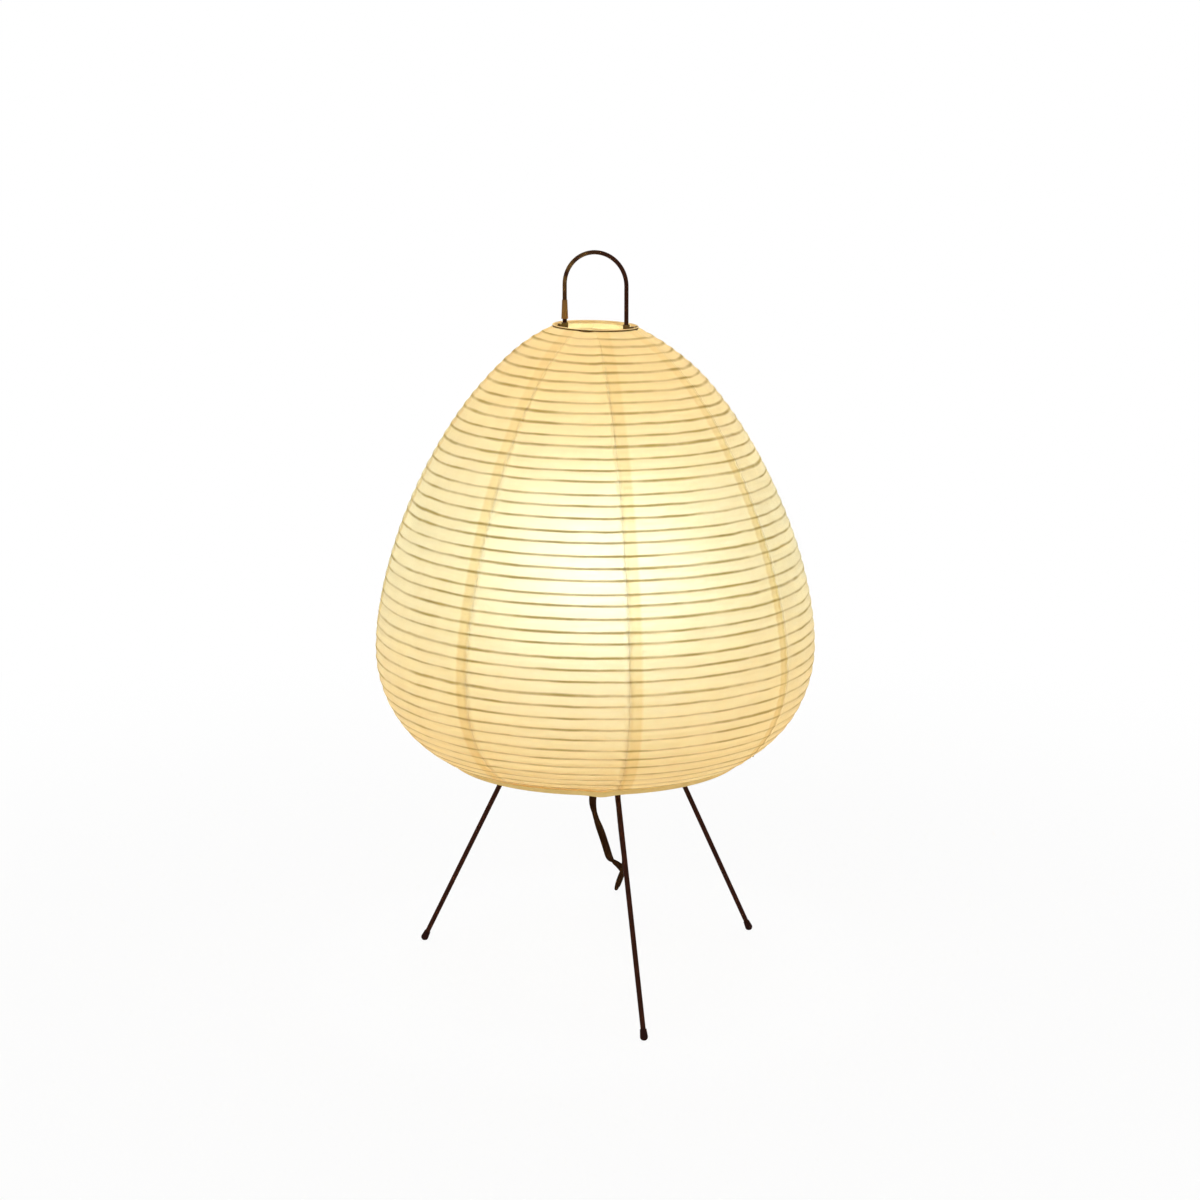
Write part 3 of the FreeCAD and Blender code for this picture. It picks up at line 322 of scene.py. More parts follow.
def bamboo_rib():
    """The rib: a flattened round section carried along its winding inside the paper."""
    turn = np.linspace(0, RIB_TURNS, int(RIB_TURNS * 88))
    length = RIB_START + RIB_PITCH * turn - rib_wander(turn)
    radius, height = on_paper(length, 2 * (PAPER + GLUE) + PAPER_INSET + RIB_DEPTH / 2)
    angle = RIB_ANGLE - TAU * turn
    path = hand_made(turned(radius, height, angle), 0)
    outward = np.stack([np.cos(angle), np.sin(angle), 0 * angle], -1)
    rise = np.cross(outward, unit(np.gradient(path, axis=0)))
    around = circle(8)
    points = carried(path, rise, RIB_WIDTH / 2 * np.cos(around), RIB_DEPTH / 2 * np.sin(around))
    uv = np.stack(np.broadcast_arrays(run_lengths(path)[:, None] * MM, around[None, :] / TAU), -1)
    return surface("bamboo_rib_strip", points, uv=uv, round_ways=(False, True), capped=True)


def top_ring():
    """Wire ring in the shade's mouth: a circle turned about the axis, leaning with the paper."""
    around = circle(24)[:, None]
    angle = circle(144)[None, :]
    points = turned(TOP_RING[0] + TOP_WIRE * np.cos(around),
                    TOP_RING[1] + TOP_WIRE * np.sin(around), angle)
    points[..., 2] -= MOUTH_LEAN * points[..., 0]
    return surface("top_ring_wire", points, round_ways=(True, True))


# Cords

def spline_line(route, resolution):
    """Points of the smooth line that a second-degree NURBS spline draws from the route's points."""
    curve = bpy.data.curves.new("route", "CURVE")
    curve.dimensions = "3D"
    spline = curve.splines.new("NURBS")
    spline.points.add(len(route) - 1)
    weights = np.ones((len(route), 4), np.float32)
    weights[:, :3] = np.asarray(route) * MM
    spline.points.foreach_set("co", weights.ravel())
    spline.order_u = 3
    spline.use_endpoint_u = True
    spline.resolution_u = resolution
    holder = bpy.data.objects.new("route", curve)
    mesh = bpy.data.meshes.new_from_object(holder)
    line = np.empty(len(mesh.vertices) * 3, np.float32)
    mesh.vertices.foreach_get("co", line)
    bpy.data.objects.remove(holder)
    bpy.data.curves.remove(curve)
    bpy.data.meshes.remove(mesh)
    return line.reshape(-1, 3).astype(float) / MM


def twisted(path, sides, degrees):
    """Side vectors turned about the path by an angle at each point."""
    along = unit(np.gradient(path, axis=0))
    turn = np.radians(degrees)[:, None]
    return sides * np.cos(turn) + np.cross(along, sides) * np.sin(turn)


def twin_section():
    """Section of flat twin flex: two touching circles joined by a shallow groove on each face."""
    angle = circle(32)
    lobe = CORD_THICKNESS / 2
    wide = CORD_WIDTH / 2 * np.cos(angle)
    waist = 1 - GROOVE_DEPTH * np.exp(-(wide / (GROOVE_WIDTH * lobe)) ** 2)
    past = np.clip(np.abs(wide) - (CORD_WIDTH / 2 - lobe), 0, lobe) / lobe
    return wide, np.sign(np.sin(angle)) * lobe * waist * np.sqrt(1 - past ** 2)


def twin_flex(name, path, sides):
    """Flat flex: the twin section carried along its line, with length along it as UV."""
    wide, thick = twin_section()
    points = carried(path, sides, wide, thick)
    uv = np.stack(np.broadcast_arrays(run_lengths(path)[:, None] * MM, wide[None, :] * MM), -1)
    return surface(name, points, uv=uv, round_ways=(False, True), capped=True)


# Routes of the flex as the part's source has them, with the height of its line on the floor
FLOOR = CORD_WIDTH / 2 + FLOOR_GAP
LAMP_ROUTE = [(0, 0, 125.8), (0, 0, 118.5), (-2.4, 0.2, 106), (0.3, 0.3, 95), (3.6, 0.5, 86),
              (6.5, 0.8, 76.5), (8.7, 1.8, 68.4), (12.6, 12.5, 62.6), (16.8, 35, 51.5),
              (17.3, 60, 40.8), (16.2, 98, 22.6), (13.8, 136.8, FLOOR), (15.4, 160, FLOOR),
              (20.4, 192, FLOOR), (19, 236, FLOOR), (17.6, 290, FLOOR), (16.6, 344, FLOOR),
              (16.4, 387.6, FLOOR), (9, 400.5, 3.2), (-6.5, 408, 6.1), (-19.8, 408, 6.1)]
LINK_ROUTE = [(-70.2, 408, 6.1), (-78, 408, 6.1), (-88.6, 411.2, 3.6), (-96.8, 419.8, FLOOR),
              (-100, 430.6, FLOOR), (-97.2, 441.7, FLOOR), (-89.5, 450.2, FLOOR),
              (-78.5, 453.6, FLOOR), (-60, 453.4, FLOOR), (-38, 451.5, FLOOR),
              (-14, 450.3, FLOOR), (6, 451.5, 2.9), (19, 452, 3.45)]
COIL_LOW = COIL_RISE + CORD_WIDTH / 2
COIL_HIGH = COIL_LOW + COIL_PITCH
COIL_POINTS_PER_TURN = 16


def coil_route():
    """The coil's points: radius falls by a pitch each turn to the middle, then grows again on top.

    The height climbs on half a cosine wave over the half turn where the spiral turns back.
    """
    turn = np.arange(1, COIL_TURNS * COIL_POINTS_PER_TURN) / COIL_POINTS_PER_TURN
    widen = 1 / (0.75 + 0.25 * math.cos(TAU / COIL_POINTS_PER_TURN))
    radius = (COIL_RADIUS - COIL_PITCH * np.minimum(turn, COIL_TURNS - turn)) * widen
    angle = TAU / 4 - TAU * turn
    climb = np.clip((turn - COIL_TURNS / 2) / 0.5 + 0.5, 0, 1)
    height = COIL_LOW + (COIL_HIGH - COIL_LOW) * (1 - np.cos(math.pi * climb)) / 2
    spiral = np.stack([COIL_CENTRE[0] + radius * np.cos(angle),
                       COIL_CENTRE[1] + radius * np.sin(angle), height], -1)
    top = COIL_CENTRE[1] + COIL_RADIUS
    start = np.array([[COIL_CENTRE[0] - COIL_TAIL, top, COIL_LOW],
                      [COIL_CENTRE[0] - 6, top, COIL_LOW],
                      [COIL_CENTRE[0] + 1, top + 0.3, COIL_LOW]])
    end = np.array([[COIL_CENTRE[0] - 1, top + 0.3, COIL_HIGH],
                    [COIL_CENTRE[0] + 6, top, COIL_HIGH],
                    [COIL_CENTRE[0] + COIL_TAIL, top, COIL_HIGH]])
    return np.concatenate([start, spiral, end])


def settled(path, half_height):
    """The path lowered where it lies low, until the flex of that half height rests on the floor."""
    path = path.copy()
    low = 1 - eased(path[:, 2], FLOOR + 0.1, FLOOR + 3)
    path[:, 2] -= low * (FLOOR - FLOOR_GAP - half_height)
    return path


def flex_height(degrees):
    """Half the height of the flex when it is rolled by an angle from flat."""
    roll = np.radians(degrees)
    return np.hypot(CORD_WIDTH / 2 * np.sin(roll), CORD_THICKNESS / 2 * np.cos(roll))


def lamp_cord():
    """Flex from the grip to the switch: it hangs with a loose twist, folds and runs back."""
    path = spline_line(LAMP_ROUTE, 16)
    length = run_lengths(path)
    upright = (1 - eased(length, *HANGING_ENDS))[:, None]
    level = np.array([0.0, 1, 0]) * upright + np.array([0.0, 0, 1]) * (1 - upright)
    sides = unit(np.cross(unit(np.gradient(path, axis=0)), level))
    keys = (0, 14, 18, 22, 27, 32, 37, 42, 50, 55, 60, 65, 90, 170, 400, 450)
    rolls = (0, 0, 8, 32, 62, 52, 18, 4, 2, 6, 40, 76, 122, 125, 125, 180)
    roll = np.interp(length, keys, rolls)
    sides = twisted(path, sides, roll)
    return path, twin_flex("flex_to_switch", settled(path, flex_height(roll)), sides)


def plug_cord():
    """Flex from the switch to the plug: flat on the floor, then on edge through the coil."""
    path = spline_line(np.concatenate([LINK_ROUTE, coil_route()]), 10)
    length = run_lengths(path)
    roll = 90 * eased(length, *TURNS_ON_EDGE)
    along = unit(np.gradient(path, axis=0))
    sides = twisted(path, unit(np.cross(along, np.array([0.0, 0, 1]))), roll)
    lying = settled(path, flex_height(0))
    before_plug = 1 - eased(length, length[-1] - PLUG_REACH, length[-1])
    coiled = path - np.array([0, 0, COIL_SETTLES]) * before_plug[:, None]
    share = eased(length, *ENTERS_COIL)[:, None]
    return path, twin_flex("flex_to_plug", lying * (1 - share) + coiled * share, sides)


def coil_tie():
    """Flat band round the coil: its path is a rounded rectangle, and its section a thin strip."""
    middle = COIL_CENTRE[1] - COIL_RADIUS + COIL_PITCH * COIL_TURNS / 4
    half_width = COIL_PITCH * COIL_TURNS / 4 + TIE_ROOM
    high = COIL_HIGH + CORD_WIDTH / 2 - TIE_BITE
    angle = circle(96)
    swing = np.sign(np.cos(angle)) * np.abs(np.cos(angle)) ** TIE_POWER
    lift = np.sign(np.sin(angle)) * np.abs(np.sin(angle)) ** TIE_POWER
    centre = np.stack([0 * angle + COIL_CENTRE[0], middle + half_width * swing,
                       (TIE_LOW + high) / 2 + (high - TIE_LOW) / 2 * lift], -1)
    way = unit(np.roll(centre, -1, 0) - np.roll(centre, 1, 0))
    out = np.cross(way, np.array([1.0, 0, 0]))
    corner = np.array([(-1, -1), (-0.8, -1.2), (0.8, -1.2), (1, -1), (1, 1), (0.8, 1.2),
                       (-0.8, 1.2), (-1, 1)])
    points = (centre[:, None] + TIE_HALF_WIDTH * corner[None, :, :1] * np.array([1.0, 0, 0])
              + TIE_HALF * corner[None, :, 1:] * out[:, None])
    return surface("coil_tie_band", points, round_ways=(True, True))


def bulb_thread():
    """Screw cap of the bulb: a wall whose radius waves with height and angle as one thread."""
    height = np.linspace(CAP_LOW, CAP_HIGH, 72)
    angle = circle(64)[None, :]
    fade = eased(height, CAP_LOW, CAP_LOW + 2) * (1 - eased(height, CAP_HIGH - 3, CAP_HIGH - 1.5))
    flare = CAP_FLARE * eased(height, CAP_HIGH - 2, CAP_HIGH)[:, None]
    wave = 0.5 + 0.5 * np.cos(TAU * height[:, None] / THREAD_PITCH - angle)
    outer = CAP_RADIUS + THREAD_DEPTH * wave * fade[:, None] + flare
    inner = outer[::-1] - CAP_WALL
    points = np.concatenate([turned(outer, height[:, None], angle),
                             turned(inner, height[::-1, None], angle)])
    return surface("bulb_screw_cap", points, round_ways=(True, True))


# Materials

def node(tree, kind, inputs=None, **settings):
    """Shader node with its settings; inputs given as sockets are linked, and others set."""
    item = tree.nodes.new("ShaderNode" + kind)
    for key, value in settings.items():
        setattr(item, key, value)
    for key, value in (inputs or {}).items():
        if isinstance(value, bpy.types.NodeSocket):
            tree.links.new(value, item.inputs[key])
        else:
            item.inputs[key].default_value = value
    return item


def calc(tree, operation, first, second=0.0, third=0.0):
    """Result of a math node."""
    return node(tree, "Math", {0: first, 1: second, 2: third}, operation=operation).outputs[0]


def ramp(tree, value, low, high, start=0.0, end=1.0):
    """Smooth step of a value between two limits, from start to end."""
    return node(tree, "MapRange", {"Value": value, "From Min": low, "From Max": high,
                                   "To Min": start, "To Max": end},
                interpolation_type="SMOOTHSTEP").outputs[0]


def tint(tree, factor, first, second, blend="MIX"):
    """Colour between two others."""
    return node(tree, "Mix", {0: factor, 6: first, 7: second}, data_type="RGBA",
                blend_type=blend).outputs[2]


def colour(*rgb):
    """Opaque colour."""
    return (*rgb, 1.0)


def new_material(name, **fixed):
    """Material with one Principled shader, its constant inputs set; returns it, tree and shader."""
    material = bpy.data.materials.new(name)
    material.use_nodes = True
    tree = material.node_tree
    shader = tree.nodes["Principled BSDF"]
    for key, value in fixed.items():
        shader.inputs[key.replace("_", " ")].default_value = value
    return material, tree, shader


def place(tree):
    """Position on the piece itself."""
    return node(tree, "TexCoord").outputs["Object"]


def group(name, inputs, outputs):
    """Empty shader node group with named sockets."""
    tree = bpy.data.node_groups.new(name, "ShaderNodeTree")
    for label, kind in inputs:
        tree.interface.new_socket(label, in_out="INPUT", socket_type="NodeSocket" + kind)
    for label, kind in outputs:
        tree.interface.new_socket(label, in_out="OUTPUT", socket_type="NodeSocket" + kind)
    return tree, tree.nodes.new("NodeGroupInput").outputs, tree.nodes.new("NodeGroupOutput").inputs


def make_mottle_group():
    """Uneven tone: a coarse and a fine noise mix two colours, vary roughness and give a height."""
    tree, given, result = group(
        "mottled_finish",
        [("Vector", "Vector"), ("Scale", "Float"), ("Light", "Color"), ("Dark", "Color"),
         ("Smooth", "Float"), ("Rough", "Float")],
        [("Color", "Color"), ("Roughness", "Float"), ("Height", "Float")])
    coarse = node(tree, "TexNoise", {"Vector": given["Vector"], "Scale": given["Scale"],
                                     "Detail": 4.0, "Roughness": 0.6}).outputs[0]
    fine_scale = calc(tree, "MULTIPLY", given["Scale"], 14.0)
    fine = node(tree, "TexNoise", {"Vector": given["Vector"], "Scale": fine_scale,
                                   "Detail": 3.0, "Roughness": 0.7}).outputs[0]
    both = calc(tree, "MULTIPLY_ADD", fine, 0.35, calc(tree, "MULTIPLY", coarse, 0.65))
    share = ramp(tree, both, 0.34, 0.66)
    spread = calc(tree, "SUBTRACT", given["Rough"], given["Smooth"])
    tree.links.new(tint(tree, share, given["Dark"], given["Light"]), result["Color"])
    tree.links.new(calc(tree, "MULTIPLY_ADD", share, spread, given["Smooth"]),
                   result["Roughness"])
    tree.links.new(both, result["Height"])
    return tree


def make_fibre_group():
    """Long paper fibres: thin bands where warped noise crosses its middle, at two scales."""
    tree, given, result = group("paper_fibres", [("Vector", "Vector")],
                                [("Cloud", "Float"), ("Fibre", "Float")])
    cloud = node(tree, "TexNoise", {"Vector": given["Vector"], "Scale": 60.0, "Detail": 5.0,
                                    "Roughness": 0.62}).outputs[0]
    strands = []
    for scale, warp, width in ((120.0, 2.2, 0.011), (210.0, 3.2, 0.012)):
        wave = node(tree, "TexNoise", {"Vector": given["Vector"], "Scale": scale, "Detail": 1.0,
                                       "Distortion": warp}).outputs[0]
        off = calc(tree, "ABSOLUTE", calc(tree, "SUBTRACT", wave, 0.5))
        strands.append(ramp(tree, off, 0.0, width, 1.0, 0.0))
    tree.links.new(cloud, result["Cloud"])
    tree.links.new(calc(tree, "MAXIMUM", *strands), result["Fibre"])
    return tree


MOTTLE = make_mottle_group()
FIBRES = make_fibre_group()


def mottled(name, light, dark, scale, smooth, rough, bump=0.0, **fixed):
    """Material with the mottled finish in its own tones."""
    material, tree, shader = new_material(name, **fixed)
    finish = node(tree, "Group", node_tree=MOTTLE)
    tree.links.new(place(tree), finish.inputs["Vector"])
    for key, value in (("Scale", scale), ("Light", colour(*light)), ("Dark", colour(*dark)),
                       ("Smooth", smooth), ("Rough", rough)):
        finish.inputs[key].default_value = value
    tree.links.new(finish.outputs["Color"], shader.inputs["Base Color"])
    tree.links.new(finish.outputs["Roughness"], shader.inputs["Roughness"])
    if bump:
        raised = node(tree, "Bump", {"Height": finish.outputs["Height"], "Strength": bump,
                                     "Distance": 0.0004})
        tree.links.new(raised.outputs[0], shader.inputs["Normal"])
    return material


def paper_material():
    """Warm paper glowing from inside: rib lines, lapped seams, clouds and fibres dim the glow.

    Its emission is a painted glow of the bulb, added to the real bulb light that comes through
    the paper; the glow turns more orange towards the paper's ends, where the base colour is
    yellower too. A painted rib shadow is drawn where the rib count is near a whole number, within
    the wound length, and is wider near the mouth; it darkens both the glow and the base colour.
    The lapped seam is the strip less than a lap from an outer gore's edge, fainter near the mouth,
    painted shade of the double paper. Light that comes through is tinted once, at the face it
    meets first.
    """
    material, tree, shader = new_material("lantern_paper", Roughness=0.92, IOR=1.45,
                                          Transmission_Weight=0.6, Emission_Strength=1.0,
                                          Specular_IOR_Level=0.25)
    at_piece = place(tree)
    count = node(tree, "Attribute", attribute_name="rib_count").outputs["Fac"]
    length = node(tree, "Attribute", attribute_name="length_up").outputs["Fac"]
    lap = node(tree, "Attribute", attribute_name="lap").outputs["Fac"]
    fibres = node(tree, "Group", {"Vector": at_piece}, node_tree=FIBRES)
    cloud, fibre = fibres.outputs["Cloud"], fibres.outputs["Fibre"]
    part = calc(tree, "FRACT", calc(tree, "ADD", count, 0.5))
    sway = node(tree, "TexNoise", {"Vector": at_piece, "Scale": 55.0, "Detail": 1.0}).outputs[0]
    middle = calc(tree, "MULTIPLY_ADD", sway, 0.16, 0.42)
    off = calc(tree, "MULTIPLY", calc(tree, "ABSOLUTE", calc(tree, "SUBTRACT", part, middle)),
               RIB_PITCH)
    wound = calc(tree, "MULTIPLY", calc(tree, "GREATER_THAN", length, RIB_START),
                 calc(tree, "LESS_THAN", length, RIB_START + RIB_PITCH * RIB_TURNS))
    patchy = node(tree, "TexNoise", {"Vector": at_piece, "Scale": 38.0, "Detail": 3.0}).outputs[0]
    strength = calc(tree, "MULTIPLY", wound, ramp(tree, patchy, 0.32, 0.66, 0.42, 1.0))
    share = calc(tree, "DIVIDE", length, PAPER_LENGTH)
    edge = calc(tree, "MULTIPLY", calc(tree, "MULTIPLY_ADD", patchy, 0.9, 0.72),
                ramp(tree, share, 0.62, 1.0, 1.0, 1.4))
    # line: a painted rib shadow, a dark line where the rib lies behind the paper
    line = calc(tree, "MULTIPLY", ramp(tree, calc(tree, "DIVIDE", off, edge), 0.05, 1.0, 1.0, 0.0),
                strength)
    # seam: painted shade where the lapped double paper lets less light through
    seam = calc(tree, "MULTIPLY", ramp(tree, lap, SEAM_LAP - 1.8, SEAM_LAP + 0.6, 1.0, 0.0),
                ramp(tree, lap, -0.4, 1.8))
    seam = calc(tree, "MULTIPLY", seam, ramp(tree, share, 0.55, 0.95, 1.0, 0.5))
    # Painted glow: emission that stands in for the bulb's light through the paper, more orange
    # towards the ends
    rise = ramp(tree, share, 0.04, 0.5)
    fall = ramp(tree, share, 0.52, 0.97, 1.0, 0.0)
    glow = calc(tree, "MULTIPLY", rise, fall)
    painted_glow = tint(tree, glow, colour(0.13, 0.046, 0.0), colour(0.095, 0.071, 0.038))
    painted_glow = tint(tree, seam, painted_glow, colour(0.88, 0.79, 0.5), "MULTIPLY")
    painted_glow = tint(tree, line, painted_glow, colour(0.47, 0.39, 0.14), "MULTIPLY")
    painted_glow = tint(tree, ramp(tree, cloud, 0.3, 0.75, 0.0, 0.5), painted_glow, colour(0.9, 0.86, 0.78),
               "MULTIPLY")
    painted_glow = tint(tree, calc(tree, "MULTIPLY", fibre, 0.3), painted_glow, colour(0.9, 0.84, 0.7), "MULTIPLY")
    # Base colour: yellower towards the ends under the painted glow's mask, darkened by the painted
    # seam shade and rib shadow
    plain = tint(tree, ramp(tree, cloud, 0.3, 0.7), colour(0.86, 0.77, 0.41),
                 colour(0.9, 0.82, 0.46))
    plain = tint(tree, glow, tint(tree, 1.0, plain, colour(1.0, 0.985, 0.79), "MULTIPLY"), plain)
    plain = tint(tree, seam, plain, colour(0.92, 0.83, 0.6), "MULTIPLY")
    plain = tint(tree, line, plain, colour(0.48, 0.4, 0.14), "MULTIPLY")
    inner = node(tree, "NewGeometry").outputs["Backfacing"]
    tree.links.new(tint(tree, inner, plain, colour(0.97, 0.97, 0.96)), shader.inputs["Base Color"])
    tree.links.new(painted_glow, shader.inputs["Emission Color"])
    uneven = calc(tree, "MULTIPLY_ADD", fibre, 0.5, cloud)
    raised = node(tree, "Bump", {"Height": uneven, "Strength": 0.25, "Distance": 0.0003})
    tree.links.new(raised.outputs[0], shader.inputs["Normal"])
    return material


def bamboo_material():
    """Split bamboo: streaks along the strip and darker nodes at long steps, from its UV."""
    material, tree, shader = new_material("split_bamboo", Roughness=0.6)
    uv = node(tree, "UVMap", uv_map="UVMap").outputs[0]
    stretched = node(tree, "Mapping", {"Vector": uv, "Scale": (40.0, 3.0, 1.0)}).outputs[0]
    streak = node(tree, "TexNoise", {"Vector": stretched, "Scale": 1.0, "Detail": 5.0}).outputs[0]
    tone = tint(tree, ramp(tree, streak, 0.3, 0.7), colour(0.36, 0.25, 0.10),
                colour(0.62, 0.47, 0.22))
    run = node(tree, "SeparateXYZ", {0: uv}).outputs[0]
    joint = calc(tree, "PINGPONG", run, 0.17)
    tone = tint(tree, ramp(tree, joint, 0.0, 0.003, 0.7, 0.0), tone, colour(0.22, 0.14, 0.06))
    tree.links.new(tone, shader.inputs["Base Color"])
    return material


def globe_material():
    """Lit opal globe: bright, and a little cooler low down where the board sits."""
    material, tree, shader = new_material("lit_opal", Roughness=0.35, Emission_Strength=42.5)
    high = node(tree, "SeparateXYZ", {0: place(tree)}).outputs[2]
    share = ramp(tree, high, 0.227, 0.245)
    tree.links.new(tint(tree, share, colour(0.59, 0.74, 0.92), colour(0.59, 0.77, 1.0)),
                   shader.inputs["Emission Color"])
    tree.links.new(tint(tree, share, colour(0.86, 0.84, 0.8), colour(0.95, 0.93, 0.88)),
                   shader.inputs["Base Color"])
    return material


def flex_material():
    """Dark flex: fine moulding lines along its length and a slight bloom."""
    material, tree, shader = new_material("flex_cover", Specular_IOR_Level=0.0)
    uv = node(tree, "UVMap", uv_map="UVMap").outputs[0]
    lines = node(tree, "Mapping", {"Vector": uv, "Scale": (60.0, 2400.0, 1.0)}).outputs[0]
    grain = node(tree, "TexNoise", {"Vector": lines, "Scale": 1.0, "Detail": 3.0}).outputs[0]
    bloom = node(tree, "TexNoise", {"Vector": place(tree), "Scale": 90.0,
                                    "Detail": 4.0}).outputs[0]
    tree.links.new(tint(tree, ramp(tree, bloom, 0.35, 0.7), colour(0.03, 0.012, 0.005),
                        colour(0.06, 0.027, 0.011)), shader.inputs["Base Color"])
    tree.links.new(ramp(tree, bloom, 0.3, 0.7, 0.5, 0.7), shader.inputs["Roughness"])
    raised = node(tree, "Bump", {"Height": grain, "Strength": 0.2, "Distance": 0.0002})
    tree.links.new(raised.outputs[0], shader.inputs["Normal"])
    return material


def wire_material():
    """Brown paint on wire, with a painted highlight: a tan tone in patches over one side of the
    handle's arch.
    """
    material = mottled("brown_wire_paint", (0.05, 0.017, 0.008), (0.028, 0.008, 0.004), 160.0, 0.38,
                       0.56, 0.15, Specular_IOR_Level=0.03)
    tree = material.node_tree
    shader = tree.nodes["Principled BSDF"]
    paint = shader.inputs["Base Color"].links[0].from_socket
    at_piece = place(tree)
    spot = node(tree, "SeparateXYZ", {0: at_piece}).outputs
    # Painted highlight: a tan tone in noise patches on the left side of the arch top, standing in
    # for light on the wire
    highlight_side = calc(tree, "MULTIPLY", ramp(tree, spot[0], -0.018, 0.008, 1.0, 0.0),
                ramp(tree, spot[2], 0.4, 0.425))
    patch = node(tree, "TexNoise", {"Vector": at_piece, "Scale": 110.0, "Detail": 3.0}).outputs[0]
    painted_highlight = calc(tree, "MULTIPLY", highlight_side, ramp(tree, patch, 0.34, 0.6))
    tree.links.new(tint(tree, painted_highlight, paint, colour(0.15, 0.08, 0.022)), shader.inputs["Base Color"])
    return material


FINISHES = {
    "paper": paper_material(),
    # Folded paper of the foot hem, whose emission is a painted glow of the bulb through it
    "folded_paper_painted_glow": mottled("folded_paper_painted_glow", (0.77, 0.58, 0.24), (0.69, 0.5, 0.18), 120.0, 0.85,
                            0.95, 0.2, Specular_IOR_Level=0.1,
                            Emission_Color=colour(0.13, 0.072, 0.016), Emission_Strength=1.0),
    "bamboo": bamboo_material(),
    "dark_wire": wire_material(),
    # Lighter tan copy of the wire paint, for the clips and the wire ring in the mouth
    "tan_wire": mottled("tan_wire_paint", (0.17, 0.105, 0.032), (0.07, 0.038, 0.012), 190.0, 0.42,
                         0.62, 0.2, Specular_IOR_Level=0.05),
    "brass": mottled("dull_brass", (0.25, 0.13, 0.035), (0.15, 0.07, 0.018), 220.0, 0.4, 0.6, 0.1,
                     Metallic=1.0),
    "dark_metal": mottled("brown_rod_paint", (0.05, 0.015, 0.008), (0.028, 0.008, 0.004), 140.0,
                          0.4, 0.58, 0.15, Specular_IOR_Level=0.03),
    "rubber": mottled("worn_rubber", (0.034, 0.01, 0.007), (0.016, 0.005, 0.004), 300.0, 0.6,
                      0.85, 0.3, Specular_IOR_Level=0.05),
    "steel": mottled("zinc_steel", (0.66, 0.65, 0.62), (0.46, 0.45, 0.43), 260.0, 0.28, 0.46,
                     0.08, Metallic=1.0),
    "holder_plastic": mottled("holder_plastic", (0.06, 0.055, 0.05), (0.03, 0.027, 0.025), 200.0,
                              0.42, 0.6, 0.2),
    "ceramic": mottled("glazed_ceramic", (0.86, 0.84, 0.79), (0.78, 0.75, 0.69), 120.0, 0.15,
                       0.3, 0.05),
    "opal": globe_material(),
    "bulb_body": mottled("white_bulb_plastic", (0.9, 0.89, 0.86), (0.84, 0.83, 0.8), 150.0, 0.35,
                         0.5, 0.05),
    "aluminium": mottled("plain_aluminium", (0.8, 0.8, 0.81), (0.66, 0.66, 0.67), 240.0, 0.25,
                         0.4, 0.05, Metallic=1.0),
    "cord": flex_material(),
    "dark_plastic": mottled("dark_plastic", (0.05, 0.033, 0.022), (0.03, 0.019, 0.012), 420.0,
                            0.45, 0.62, 0.35, Specular_IOR_Level=0.2),
}


def dress(piece, slot, body, *nodes, finish=None):
    """Gives a new piece its finish and its body, and hides the solids that it stands for.

    The finish is that of its slot, unless another one is named.
    """
    piece.data.materials.append(FINISHES[finish or slot])
    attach(piece, body)
    if nodes:
        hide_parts(*nodes)
    return piece


def dress_solids():
    """Gives every solid the finish of its own slot, and the clips in the mouth a lighter tan one.
    """
    for part in frame["record"]["subparts"]:
        solid = CAD[part["node"]]
        solid.data.materials.clear()
        finish = "tan_wire" if "ring_clip" in part["node"] else part["material_slot"]
        solid.data.materials.append(FINISHES[finish])


def dress_shade():
    """Paper, foot hem and rib on the lamp's body, and the mouth's wire ring and the hem over it on
    the shade top's body.
    """
    pieces = [dress(paper_gore(i), "paper", "lamp", f"paper_gore_{i + 1}") for i in range(GORES)]
    pieces.append(dress(foot_hem(), "paper", "lamp", finish="folded_paper_painted_glow"))
    pieces.append(dress(bamboo_rib(), "bamboo", "lamp", "bamboo_rib"))
    dress(top_hem(), "paper", "shade_top")
    dress(top_ring(), "dark_wire", "shade_top", "top_ring", finish="tan_wire")
    for piece in pieces:
        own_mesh(piece)


def dress_cords():
    """The two runs of flex, and the tie round the coil of the second."""
    path, flex = lamp_cord()
    first = dress(flex, "cord", "lamp", "cord_lamp")
    path, flex = plug_cord()
    second = dress(flex, "cord", "lamp", "cord_link", "cord_coil")
    tie = dress(coil_tie(), "dark_plastic", "lamp", "coil_tie")


# Stage

def white_to_camera(tree, shader, lift):
    """Shader mixed towards plain white for what the camera, mirrors and glass see of it."""
    rays = node(tree, "LightPath").outputs
    seen = calc(tree, "MAXIMUM", rays["Is Camera Ray"],
                calc(tree, "MAXIMUM", rays["Is Glossy Ray"], rays["Is Transmission Ray"]))
    white = node(tree, "Emission", {"Color": colour(1, 1, 1), "Strength": 1.0}).outputs[0]
    return node(tree, "MixShader", {0: calc(tree, "MULTIPLY", seen, lift), 1: shader, 2: white})


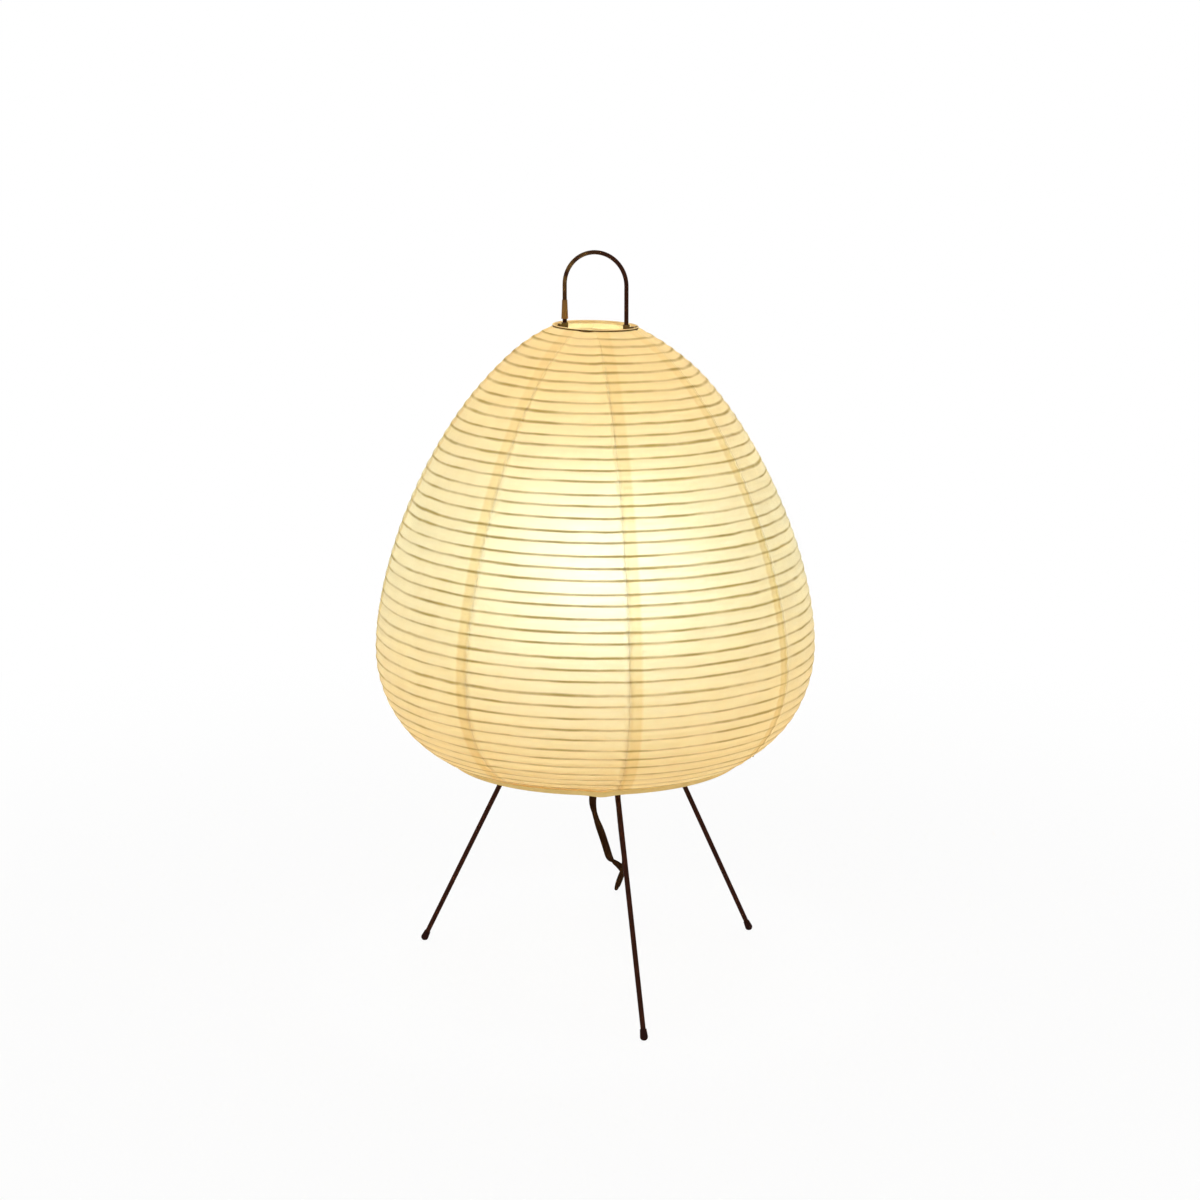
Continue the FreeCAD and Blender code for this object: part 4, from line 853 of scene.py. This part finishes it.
def pale_floor():
    """Round pale floor just under the feet."""
    reach = np.array([0.001, 400, 1500, 7000])[:, None]
    floor = surface("floor", turned(reach, -0.2, circle(96)[None, :]), round_ways=(False, True))
    floor.data.flip_normals()
    material, tree, shader = new_material("pale_floor", Base_Color=colour(0.86, 0.855, 0.845),
                                          Roughness=0.9)
    away = node(tree, "VectorMath", {0: place(tree)}, operation="LENGTH").outputs["Value"]
    mixed = white_to_camera(tree, shader.outputs[0], ramp(tree, away, 0.25, 0.9, 0.93, 1.0))
    tree.links.new(mixed.outputs[0], tree.nodes["Material Output"].inputs[0])
    floor.data.materials.append(material)


def soft_box(name, place_at, aim, size, power):
    """Large square lamp that looks at a point."""
    lamp = bpy.data.lights.new(name, "AREA")
    lamp.size = size
    lamp.energy = power
    holder = bpy.data.objects.new(name, lamp)
    bpy.context.collection.objects.link(holder)
    way = np.array(aim, float) - np.array(place_at, float)
    flat = math.hypot(way[0], way[1])
    holder.location = place_at
    holder.rotation_euler = (math.atan2(flat, -way[2]), 0, math.atan2(-way[0], way[1]))


def studio():
    """White surroundings, three soft boxes and the camera at the photograph's angle."""
    scene = bpy.context.scene
    scene.view_settings.view_transform = "Standard"
    world = bpy.data.worlds.new("white_room")
    world.use_nodes = True
    scene.world = world
    tree = world.node_tree
    dim = tree.nodes["Background"]
    dim.inputs["Color"].default_value = colour(1, 1, 1)
    dim.inputs["Strength"].default_value = 0.5
    mixed = white_to_camera(tree, dim.outputs[0], 1.0)
    tree.links.new(mixed.outputs[0], tree.nodes["World Output"].inputs[0])
    soft_box("key", (-1.1, -1.7, 1.7), (0, 0, 0.2), 1.2, 12)
    soft_box("fill", (1.5, -1.2, 1.0), (0, 0, 0.2), 1.4, 5)
    soft_box("back", (0.3, 1.9, 1.6), (0, 0, 0.25), 1.4, 8)
    lens = bpy.data.cameras.new("camera")
    lens.sensor_width = 36
    lens.lens = FOCAL / PHOTO_WIDTH * lens.sensor_width
    camera = bpy.data.objects.new("camera", lens)
    bpy.context.collection.objects.link(camera)
    camera.location = CAMERA_PLACE
    camera.rotation_euler = (CAMERA_PITCH, 0, CAMERA_TURN)
    scene.camera = camera


dress_solids()
dress_shade()
dress_cords()
dress(bulb_thread(), "aluminium", "bulb", "bulb_cap")
pale_floor()
studio()
